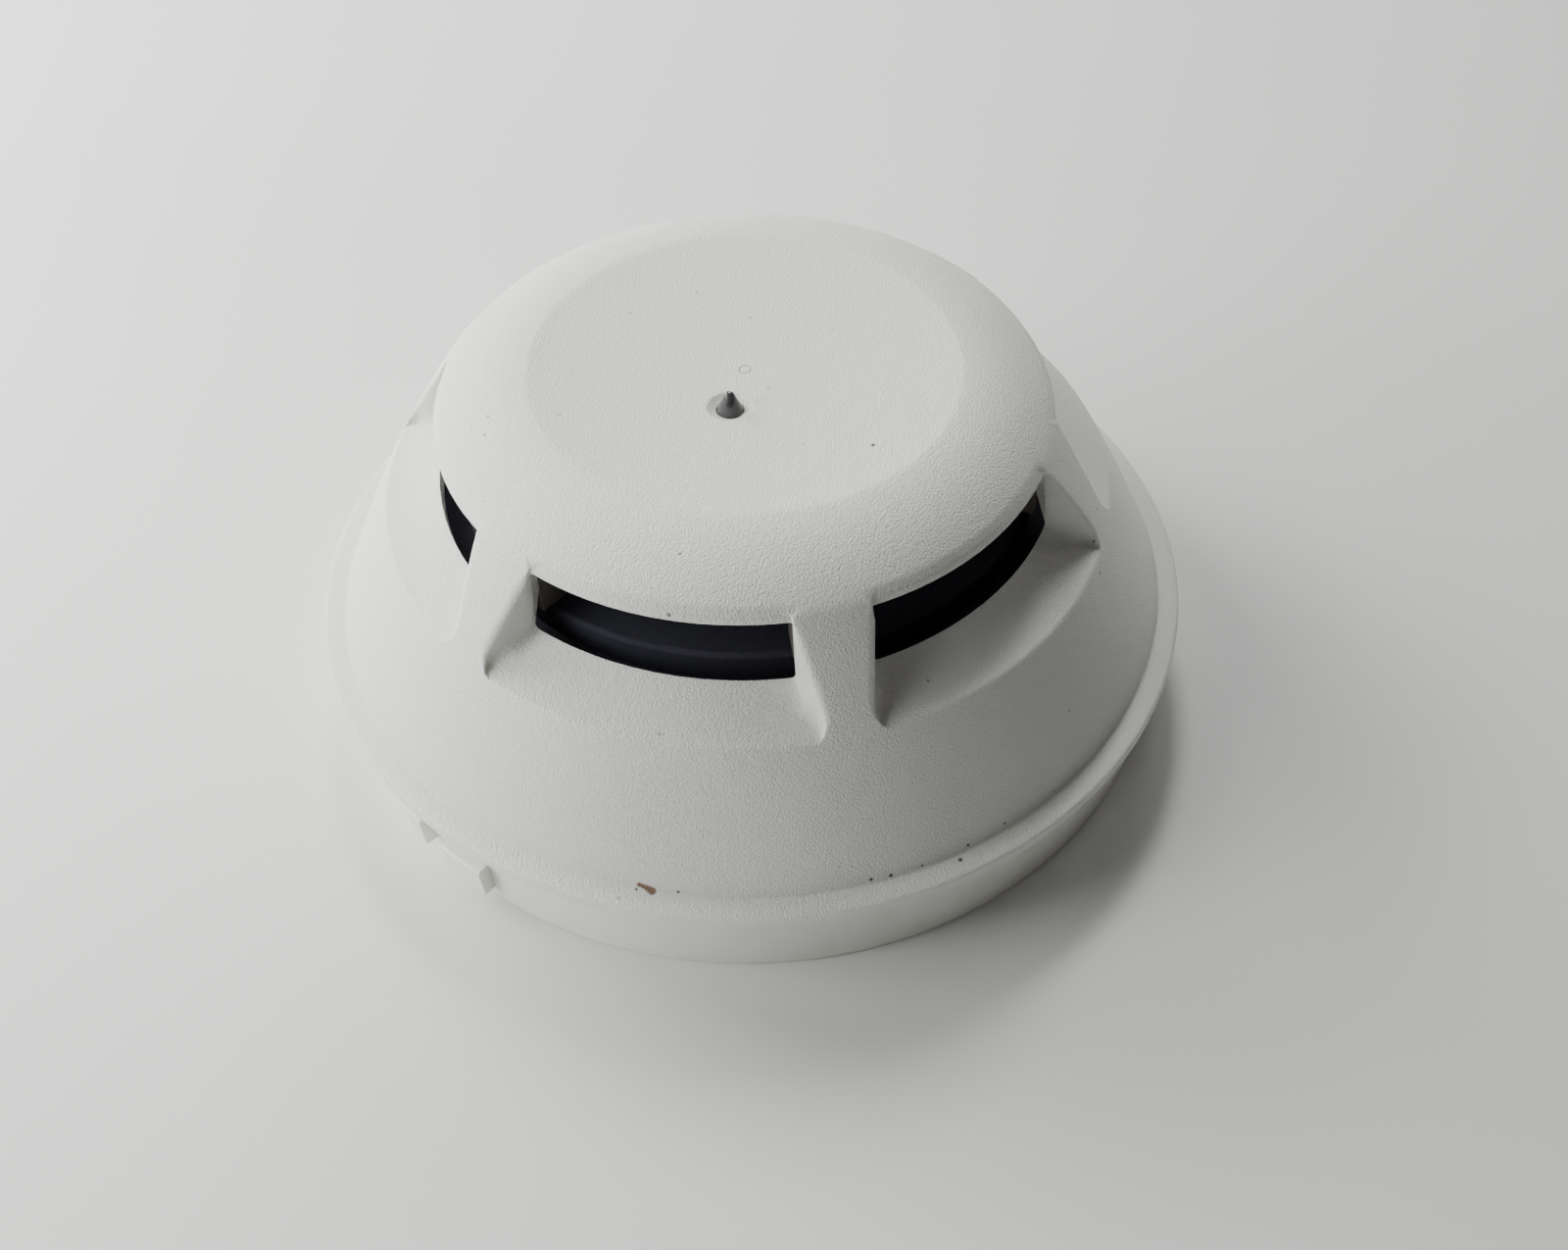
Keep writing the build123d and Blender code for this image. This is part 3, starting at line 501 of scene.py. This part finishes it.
inner_radii = np.concatenate((inner_climb, inner_brow, inner_cap))
inner_heights = np.concatenate((inner_height(inner_climb), inner_height(inner_brow), roof_height(inner_cap)))
inner_rings = np.stack((np.linspace(10.0, hole_radius, len(ring_radii)), np.full(len(ring_radii), roof)), 1)
inner_ribs = np.concatenate((inner_start, np.stack((inner_radii, inner_heights), 1), inner_rings))
inner_pockets = inner_ribs.copy()
inner_floor = floor_height(inner_climb) - pocket_wall
inner_pockets[first_climb:sill_row + 1, 1] -= eased_drop(inner_height(inner_climb) - inner_floor, drop_ease)
beyond_sill = slice(sill_row + 1, first_cap + len(cap))
head_start, head_step = 31.6, 0.25
head_line = head_start - head_step * np.arange(len(brow) + len(cap))
head_radii = np.minimum(inner_ribs[beyond_sill, 0], head_line)
inner_pockets[beyond_sill] = np.stack((head_radii, np.maximum(roof_height(head_radii), window_head)), 1)
print("rows:", len(outer_ribs), len(inner_ribs), "sill row:", sill_row)

# %% [markdown]
# Both skins are computed as arrays of points, with faces between neighbours. The faces
# between the sill and the brow are left out across each pocket's floor: that is the window.
# A band of faces joins the skins around each window, at the spigot's foot and in the hole.

# %% Mesh of the cover
slide_start, slide_end = 12.0, 2.5
lip_spread, brow_spread, even_spread = (39.9, 1.6), (33.3, 0.6), (31.0, 17.0)


def skin_points(ribs, pockets, wall):
    """All points of a skin in millimetres, rows by columns. The last rows slide from the
    axis to the hole, and the columns spread out beyond the pocket's lip and over the brow,
    and grow even on the cap."""
    radii = ribs[:, 0]
    slide = hole_offset * np.clip((slide_start - radii) / (slide_start - slide_end), 0, 1)
    centres = np.where(np.arange(len(ribs)) >= len(ribs) - len(ring_radii), slide, 0)
    spread = np.maximum(eased_share((radii - lip_spread[0]) / lip_spread[1]),
                        eased_share((brow_spread[0] - radii) / brow_spread[1]))
    evenly = eased_share((even_spread[0] - radii) / even_spread[1])
    return turn_rows(ribs, pockets, centres, spread, evenly, wall)


row_numbers = np.arange(len(outer_ribs))
no_wall = np.zeros(len(outer_ribs))
outer_skin = skin_points(outer_ribs, outer_pockets, no_wall)
rings = outer_skin[-len(ring_radii):]
rings[..., 2] += dish_height(np.hypot(rings[..., 0], rings[..., 1])) - dish_floor
inner_skin = skin_points(inner_ribs, inner_pockets, np.where(row_numbers <= sill_row, pocket_wall, 0.1))


def cell_faces(rows, columns):
    """Corner numbers of the quads of a closed band: each joins a point to the next column
    and the next row."""
    row, column = np.meshgrid(np.arange(rows - 1), np.arange(columns), indexing="ij")
    following = (column + 1) % columns
    return np.stack((row * columns + column, row * columns + following,
                     (row + 1) * columns + following, (row + 1) * columns + column), -1)


def band_between(cells, left_out, count):
    """Quads that join the borders of the left out cells of two skins, whose points are count apart."""
    bands = []
    for step, ends in ((1, (0, 3)), (-1, (1, 2))):
        border = left_out & ~np.roll(left_out, step, axis=1)
        edge = cells[border][:, ends]
        bands.append(np.concatenate((edge, edge[:, ::-1] + count), 1))
    for step, ends in ((1, (0, 1)), (-1, (3, 2))):
        border = left_out & ~np.roll(left_out, step, axis=0)
        edge = cells[border][:, ends]
        bands.append(np.concatenate((edge, edge[:, ::-1] + count), 1))
    return np.concatenate(bands)


def mesh_piece(name, points, faces, slot, replaces=(), crease=35.0):
    """Object whose mesh holds points in millimetres and faces, with doubles merged, faces
    turned outward, and smooth shading that stops at creases."""
    mesh = bpy.data.meshes.new(name)
    mesh.from_pydata((points * MM).tolist(), [], faces)
    work = bmesh.new()
    work.from_mesh(mesh)
    bmesh.ops.remove_doubles(work, verts=work.verts, dist=1e-7)
    bmesh.ops.dissolve_degenerate(work, edges=work.edges, dist=1e-8)
    bmesh.ops.recalc_face_normals(work, faces=work.faces)
    for face in work.faces:
        face.smooth = True
    for bend in work.edges:
        bend.smooth = len(bend.link_faces) == 2 and bend.calc_face_angle(0.0) < radians(crease)
    work.to_mesh(mesh)
    work.free()
    piece = bpy.data.objects.new(name, mesh)
    bpy.context.scene.collection.objects.link(piece)
    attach(piece, "root")
    if replaces:
        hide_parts(*replaces)
    return piece


# %% [markdown]
# Inside, each window has two thin fins that carry its side walls on towards the sensor,
# and four hooked tabs below hold the cover in the housing. They are flat plates with
# rounded edges, so one function makes them all from an outline in radius and height.

# %% Fins and snap tabs
points_per_corner = 5


def plate(outline, thickness, corner, edge):
    """Flat plate with a convex outline, given anticlockwise in radius and height. Each corner
    is an arc about a point set back from it, and ring after ring of the outline shrinks by
    edge times 1 - cosine while it moves out by edge times the sine, so the edges are round."""
    outline = np.asarray(outline, float)
    along = np.roll(outline, -1, axis=0) - outline
    along /= np.linalg.norm(along, axis=1)[:, None]
    out = np.stack((along[:, 1], -along[:, 0]), 1)
    before = np.roll(out, 1, axis=0)
    set_back = outline - corner * (before + out) / (1 + (before * out).sum(1))[:, None]
    start = np.arctan2(before[:, 1], before[:, 0])
    swing = (np.arctan2(out[:, 1], out[:, 0]) - start) % (2 * pi)
    heading = (start[:, None] + swing[:, None] * np.linspace(0, 1, points_per_corner)).ravel()
    middles = np.repeat(set_back, points_per_corner, axis=0)
    lean = np.linspace(0, pi / 2, 4)
    shrink = np.concatenate((edge * (1 - np.cos(lean))[::-1], edge * (1 - np.cos(lean))))
    side = thickness / 2 - edge
    across = np.concatenate((-side - edge * np.sin(lean)[::-1], side + edge * np.sin(lean)))
    reach = (corner - shrink)[:, None]
    radius = middles[:, 0] + reach * np.cos(heading)
    height = middles[:, 1] + reach * np.sin(heading)
    points = np.stack((radius, np.broadcast_to(across[:, None], radius.shape), height), -1).reshape(-1, 3)
    count = len(heading)
    faces = cell_faces(len(shrink), count).reshape(-1, 4).tolist()
    last = (len(shrink) - 1) * count
    return points, faces + [list(range(count)), list(range(last, last + count))]


def carried(points, angle, sideways):
    """Points moved sideways and then turned to a compass angle about the axis."""
    across = points[:, 1] + sideways
    return np.stack((points[:, 0] * np.sin(angle) + across * np.cos(angle),
                     -points[:, 0] * np.cos(angle) + across * np.sin(angle), points[:, 2]), 1)


def gathered(parts):
    """Points and faces of many parts as one list of each, with the faces renumbered."""
    points, faces, start = [], [], 0
    for part_points, part_faces in parts:
        points.append(part_points)
        faces += [[corner + start for corner in face] for face in part_faces]
        start += len(part_points)
    return np.concatenate(points), faces


fin_outline = ((28.9, 30.8), (32.7, 30.8), (32.7, 36.2), (28.9, 38.4))
fin_thickness, fin_set_back = 1.4, 0.04
tab_outline = ((44.65, 4.05), (46.15, 4.05), (46.15, 12.2), (44.65, 12.2))
hook_outline = ((44.9, 4.05), (46.95, 4.05), (46.95, 5.05), (44.9, 5.05))
fin_points, fin_faces = plate(fin_outline, fin_thickness, corner=0.25, edge=0.15)
fin_shift = fin_thickness / 2 + fin_set_back
fin_parts = [
    (carried(fin_points, number * pi / 3 + side * window_half_angle, side * fin_shift), fin_faces)
    for number in range(6) for side in (-1, 1)
]
tab_width, first_tab = 5.8, 120
tab_parts = []
for outline in (tab_outline, hook_outline):
    tab_points, tab_faces = plate(outline, tab_width, corner=0.3, edge=0.15)
    tab_parts += [
        (carried(tab_points, radians(first_tab + 90 * number), 0.0), tab_faces) for number in range(4)
    ]
print("fins:", len(fin_parts), "tabs:", len(tab_parts) // 2)

# %% [markdown]
# The light pipe is turned about its own axis: a shaft with a flange, slimmer where it
# passes the cover, and a cone whose sides are tangents of the small ball at its tip.
# A tangent from a point at a distance d meets a ball of radius r at an angle whose
# cosine is r over d, seen from the ball's middle.

# %% Outline of the light pipe
pipe_tip, tip_round, pipe_top_radius, cone_start = 42.4, 0.6, 1.42, 40.15
shaft_radius, flange_radius, pipe_bottom, flange_bottom, flange_top = 1.5, 2.4, 13.2, 31.5, 32.3
pipe_shaft = ((0.0, pipe_bottom), (shaft_radius, pipe_bottom), (shaft_radius, flange_bottom),
              (flange_radius, flange_bottom), (flange_radius, flange_top), (shaft_radius, flange_top),
              (shaft_radius, 38.1), (pipe_top_radius, 38.3), (pipe_top_radius, cone_start))
ball_height = pipe_tip - tip_round
away = np.hypot(pipe_top_radius, ball_height - cone_start)
ball_start = np.arccos(tip_round / away) - np.arctan2(ball_height - cone_start, pipe_top_radius)
ball = np.linspace(ball_start, pi / 2, 12)
pipe_ball = np.stack((tip_round * np.cos(ball), ball_height + tip_round * np.sin(ball)), 1)
pipe_outline = np.concatenate((pipe_shaft, pipe_ball))


def lathed(outline, place, count=64):
    """Points and faces of an outline in radius and height turned about an upright axis at a
    place. Its first and last points lie on the axis, where the merging of doubles closes it."""
    turns = np.linspace(0, 2 * pi, count, endpoint=False)
    radius, height = outline[:, :1], np.broadcast_to(outline[:, 1:], (len(outline), count))
    points = np.stack((radius * np.cos(turns) + place[0], radius * np.sin(turns) + place[1], height), -1)
    return points.reshape(-1, 3), cell_faces(len(outline), count).reshape(-1, 4).tolist()


print("light pipe:", len(pipe_outline), "points, tangent at", f"{np.degrees(ball_start):.1f} degrees")

# %% [markdown]
# The two skins, the bands between them and the tabs now go into one mesh. The fins stay
# apart, because they take painted shade: a brownish grey for the dark they stand in, next to the blue of the
# shield.

# %% The cover
point_count = len(outer_ribs) * column_count
outer_cells = cell_faces(len(outer_ribs), column_count)
sector_place = np.arange(column_count) % (column_count // 6)
half_count = column_count // 12
window_cell = np.zeros(outer_cells.shape[:2], bool)
window_cell[sill_row] = (sector_place >= floor_column) & (sector_place < 2 * half_count - floor_column)
outer_faces = outer_cells[~window_cell]
inner_faces = outer_cells[~window_cell][:, ::-1] + point_count
bands = band_between(outer_cells, window_cell, point_count)
foot_edge = outer_cells[0][:, (0, 1)]
hole_edge = outer_cells[-1][:, (3, 2)]
foot_band = np.concatenate((foot_edge, foot_edge[:, ::-1] + point_count), 1)
hole_band = np.concatenate((hole_edge, hole_edge[:, ::-1] + point_count), 1)
cover_points = np.concatenate((outer_skin.reshape(-1, 3), inner_skin.reshape(-1, 3)))
cover_faces = np.concatenate((outer_faces, inner_faces, bands, foot_band, hole_band))
cover_mesh = gathered([(cover_points, cover_faces.tolist())] + tab_parts)
cover = mesh_piece("cover_shell", *cover_mesh, "cover_white", ("outer_cover",))
pipe_mesh = lathed(pipe_outline, (0.0, -hole_offset))
pipe = mesh_piece("light_pipe_body", *pipe_mesh, "pipe_smoke", ("light_pipe",), crease=30.0)
fins = mesh_piece("chamber_fins", *gathered(fin_parts), "shield_dark", ("outer_cover",))
cover_corners = [tuple(round(v, 2) for v in corner) for corner in cover.bound_box][::6]
print("cover:", len(cover.data.polygons), "faces, box", cover_corners)

# %% [markdown]
# The cover is moulded in white plastic with a spark-eroded texture: a skin of tiny
# pits and grains, up to a quarter of a millimetre across, that scatters light. Its colour
# is almost even. A little grey handling dirt sits in the grain of the front cone and in
# the ends of two pockets, a brown chip and some pin holes mark the lip, and small dark
# specks lie here and there. A faint ring in the dish is what the mould's gate left.

# %% Finish of the cover
white = Finish("textured_white", (0.85, 0.86, 0.82), 0.48, IOR=1.5, Subsurface_Weight=0.25,
               Subsurface_Radius=(1.0, 0.97, 0.88), Subsurface_Scale=1.0 * MM)
grain = white.noise(0.24, detail=1.5)
fine_grain = white.noise(0.12, detail=1.0)
texture = white.math("ADD", white.math("MULTIPLY", grain, 0.7), white.math("MULTIPLY", fine_grain, 0.3))


def patch(finish, place, reach):
    """Soft round patch about a point, from 1 at its middle to 0 at its reach, in millimetres."""
    middle = tuple(value * MM for value in place)
    away = finish.add("ShaderNodeVectorMath", {"operation": "DISTANCE"}, i0=finish.place, i1=middle)
    return finish.spread(away.outputs["Value"], 0.0, reach * MM, 1.0, 0.0)


def patches(finish, places):
    """The strongest of many soft patches, given as places with their reach."""
    strongest = None
    for place, reach in places:
        spot = patch(finish, place, reach)
        strongest = spot if strongest is None else finish.math("MAXIMUM", strongest, spot)
    return strongest


dirt = patches(white, (((2.0, -44.0, 20.0), 11.0), ((11.0, -36.0, 28.5), 9.0), ((36.0, -11.0, 28.5), 6.0)))
chip = patches(white, (((1.0, -48.15, 12.85), 0.4), ((1.4, -48.2, 12.75), 0.45), ((1.8, -48.25, 12.65), 0.5),
                       ((2.1, -48.3, 12.58), 0.55), ((2.4, -48.35, 12.5), 0.6)))
pin_holes = patches(white, (
    ((23.83, -41.87, 12.78), 0.28), ((25.67, -40.85, 12.67), 0.3), ((28.57, -38.9, 12.66), 0.2),
    ((32.27, -36.99, 12.29), 0.34), ((32.74, -35.32, 12.81), 0.24), ((35.97, -31.86, 13.05), 0.2),
    ((0.73, -48.49, 12.43), 0.24), ((5.06, -47.97, 12.69), 0.24), ((1.72, -33.14, 37.5), 0.45),
    ((15.8, -8.9, 41.0), 0.35), ((1.44, -27.81, 40.36), 0.2)))
pits = white.spread(grain, 0.42, 0.60)
grime = white.math("MULTIPLY", dirt, white.math("MULTIPLY", pits, 0.20))
speck_cells = white.add("ShaderNodeTexVoronoi", {"feature": "F1"}, Vector=white.place, Scale=1 / (5.0 * MM))
specks = white.spread(speck_cells.outputs["Distance"], 0.030, 0.045, 1.0, 0.0)
cloud = white.noise(18.0)
tint = white.mix(white.spread(cloud, 0.3, 0.7), (0.845, 0.85, 0.805), (0.865, 0.87, 0.835))
soiled = white.mix(grime, tint, (0.30, 0.28, 0.25))
specked = white.mix(white.math("MULTIPLY", specks, 0.5), soiled, (0.10, 0.09, 0.08))
chipped = white.mix(white.spread(chip, 0.1, 0.5), specked, (0.22, 0.13, 0.08))
white.color(white.mix(white.spread(pin_holes, 0.1, 0.6), chipped, (0.08, 0.07, 0.06)))
white.roughness(white.spread(fine_grain, 0.35, 0.65, 0.28, 0.58))
gate_edge = white.math("ABSOLUTE", white.math("SUBTRACT", patch(white, (-0.13, -0.05, dish_floor), 1.2), 0.5))
gate_ring = white.math("MULTIPLY", white.spread(gate_edge, 0.0, 0.12, 1.0, 0.0), 1.2)
white.relief(white.math("SUBTRACT", texture, gate_ring), 0.19)
print("cover finish:", len(white.material.node_tree.nodes), "nodes")

# %% [markdown]
# The back housing is the same white but polished in the mould, so it is smoother and a
# little warmer, with a faint waviness from cooling.

# %% Finish of the back housing
ivory = Finish("smooth_ivory", (0.85, 0.855, 0.80), 0.36, IOR=1.5, Subsurface_Weight=0.25,
               Subsurface_Radius=(1.0, 0.97, 0.88), Subsurface_Scale=1.0 * MM)
wave = ivory.noise(6.0, detail=1.0)
polish = ivory.noise(0.5, detail=2.0)
ivory.color(ivory.mix(ivory.spread(wave, 0.3, 0.7), (0.835, 0.84, 0.785), (0.86, 0.865, 0.815)))
ivory.roughness(ivory.spread(polish, 0.3, 0.7, 0.32, 0.42))
ivory.relief(polish, 0.006)

# %% [markdown]
# Behind the windows stands a cup of dark, faintly blue plastic with a dull skin. The fins
# beside it get a dull brownish grey that is painted shade, the dark of the chamber they
# stand in. The light pipe is a smoky clear moulding that carries the status light to the dish.

# %% Finishes of the shield, the fins' painted shade, the light pipe and the light
dark = Finish("dark_shield", (0.025, 0.025, 0.037), 0.75, Specular_IOR_Level=0.25)
haze = dark.noise(0.6, detail=3.0)
dark.color(dark.mix(dark.spread(haze, 0.35, 0.65), (0.022, 0.022, 0.034), (0.028, 0.028, 0.040)))
dark.roughness(dark.spread(haze, 0.3, 0.7, 0.70, 0.82))
dark.relief(haze, 0.010)

# The fins' brownish grey is painted shade: they stand in the dark chamber behind the windows.
fin_shade = Finish("fins_painted_shade", (0.100, 0.088, 0.076), 0.7, Specular_IOR_Level=0.3)
fin_shade_fleck = fin_shade.noise(0.6, detail=3.0)
fin_shade.color(fin_shade.mix(fin_shade.spread(fin_shade_fleck, 0.35, 0.65), (0.092, 0.080, 0.069), (0.108, 0.096, 0.083)))
fin_shade.roughness(fin_shade.spread(fin_shade_fleck, 0.3, 0.7, 0.64, 0.76))
fin_shade.relief(fin_shade_fleck, 0.010)

smoke = Finish("smoky_pipe", (0.30, 0.30, 0.31), 0.12, Transmission_Weight=0.75, IOR=1.49)
veil = smoke.noise(0.8)
smoke.color(smoke.mix(smoke.spread(veil, 0.3, 0.7), (0.24, 0.24, 0.25), (0.36, 0.36, 0.37)))
smoke.roughness(smoke.spread(veil, 0.3, 0.7, 0.08, 0.16))
smoke.relief(veil, 0.004)

resin = Finish("clear_resin", (0.85, 0.84, 0.78), 0.18, Transmission_Weight=0.4, IOR=1.5)
flow = resin.noise(0.4)
resin.color(resin.mix(resin.spread(flow, 0.3, 0.7), (0.80, 0.79, 0.70), (0.88, 0.87, 0.82)))
resin.relief(flow, 0.004)
print("finishes so far:", [material.name for material in bpy.data.materials])

# %% [markdown]
# Inside the head nothing is on show, but each piece still has the finish of the real
# one: a lacquered board with a woven glass cloth under the green, black moulded
# packages, tinned wire, plated steel, turned brass and a drawn aluminium can.

# %% Finish of the circuit board
board = Finish("green_lacquer", (0.02, 0.16, 0.06), 0.30, Coat_Weight=0.4, Coat_Roughness=0.15)
cloth_scale = 1 / (7.0 * MM)
across, along = (
    board.add("ShaderNodeTexWave", {"bands_direction": axis},
              Vector=board.place, Scale=cloth_scale, Distortion=0.4)
    for axis in "XY"
)
cloth = board.math("MULTIPLY", across.outputs["Fac"], along.outputs["Fac"])
board.color(board.mix(cloth, (0.014, 0.13, 0.050), (0.030, 0.20, 0.080)))
board.roughness(board.spread(cloth, 0.0, 1.0, 0.26, 0.36))
board.relief(cloth, 0.010)


# %% Finishes of the moulded, wired and plated pieces
def mottled(name, color, roughness, size, depth, contrast=0.12, metallic=0.0, **sockets):
    """Finish whose colour, gloss and relief all vary with one fine noise."""
    finish = Finish(name, color, roughness, metallic, **sockets)
    pattern = finish.noise(size, detail=3.0)
    darker = tuple(channel * (1 - contrast) for channel in color)
    lighter = tuple(min(1.0, channel * (1 + contrast)) for channel in color)
    finish.color(finish.mix(finish.spread(pattern, 0.3, 0.7), darker, lighter))
    finish.roughness(finish.spread(pattern, 0.3, 0.7, roughness * 0.8, roughness * 1.2))
    return finish.relief(pattern, depth)


def brushed(name, color, roughness, direction):
    """Metal with fine lines along one direction, from noise that is stretched that way."""
    finish = Finish(name, color, roughness, 1.0)
    stretch = finish.add("ShaderNodeMapping", {"vector_type": "POINT"}, Vector=finish.place)
    stretch.inputs["Scale"].default_value = direction
    lines = finish.noise(0.25, detail=3.0, place=stretch.outputs["Vector"])
    finish.color(finish.mix(finish.spread(lines, 0.3, 0.7), tuple(c * 0.88 for c in color), color))
    finish.roughness(finish.spread(lines, 0.3, 0.7, roughness * 0.8, roughness * 1.25))
    return finish.relief(lines, 0.006)


package = mottled("moulded_black", (0.025, 0.025, 0.027), 0.55, 0.12, 0.010)
epoxy = mottled("dipped_epoxy", (0.03, 0.03, 0.03), 0.25, 0.9, 0.012)
tinned = mottled("tinned_wire", (0.70, 0.70, 0.68), 0.28, 0.15, 0.004, metallic=1.0)
ceramic = mottled("fired_ceramic", (0.45, 0.34, 0.20), 0.60, 0.10, 0.008)
glass = mottled("reed_glass", (0.62, 0.80, 0.68), 0.08, 2.0, 0.004, Transmission_Weight=0.8, IOR=1.5)
plated = brushed("plated_contact", (0.66, 0.65, 0.62), 0.30, (0.15, 1.0, 1.0))
zinc = brushed("zinc_screw", (0.60, 0.61, 0.62), 0.34, (1.0, 1.0, 0.25))
brass = brushed("turned_brass", (0.70, 0.55, 0.25), 0.30, (1.0, 1.0, 0.2))
can = brushed("drawn_can", (0.72, 0.72, 0.73), 0.28, (1.0, 1.0, 0.12))

dress(ivory, "back_housing")
cover.data.materials.append(white.material)
# The fins take the painted shade finish.
fins.data.materials.append(fin_shade.material)
pipe.data.materials.append(smoke.material)
dress(dark, "inner_shield")
dress(resin, "status_led")
dress(board, "circuit_board")
dress(package, "control_chip", "bridge_rectifier", "surge_clamp", "transistors", "resistors")
dress(epoxy, "sensing_thermistor", "reference_thermistor")
dress(tinned, "sensing_leads", "reference_leads", "reed_leads")
dress(ceramic, "ceramic_capacitors")
dress(glass, "reed_switch")
dress(plated, *[name for name in nodes if name.startswith("contact_blade")])
dress(zinc, "contact_screws", "shield_screws")
dress(brass, "contact_nuts")
dress(can, "electrolytic_capacitor", "timing_crystal")
undressed = [name for name, thing in nodes.items() if not thing.material_slots]
print("nodes without a finish:", undressed)

# %% [markdown]
# The table is a smooth pale board. It gets only a faint unevenness, so that it stays plain.

# %% Finish of the table
laminate = Finish("pale_laminate", (0.80, 0.80, 0.79), 0.55)
drift = laminate.noise(60.0)
laminate.color(laminate.mix(laminate.spread(drift, 0.3, 0.7), (0.79, 0.79, 0.78), (0.81, 0.81, 0.80)))
laminate.relief(laminate.noise(0.8), 0.004)
table.data.materials.append(laminate.material)
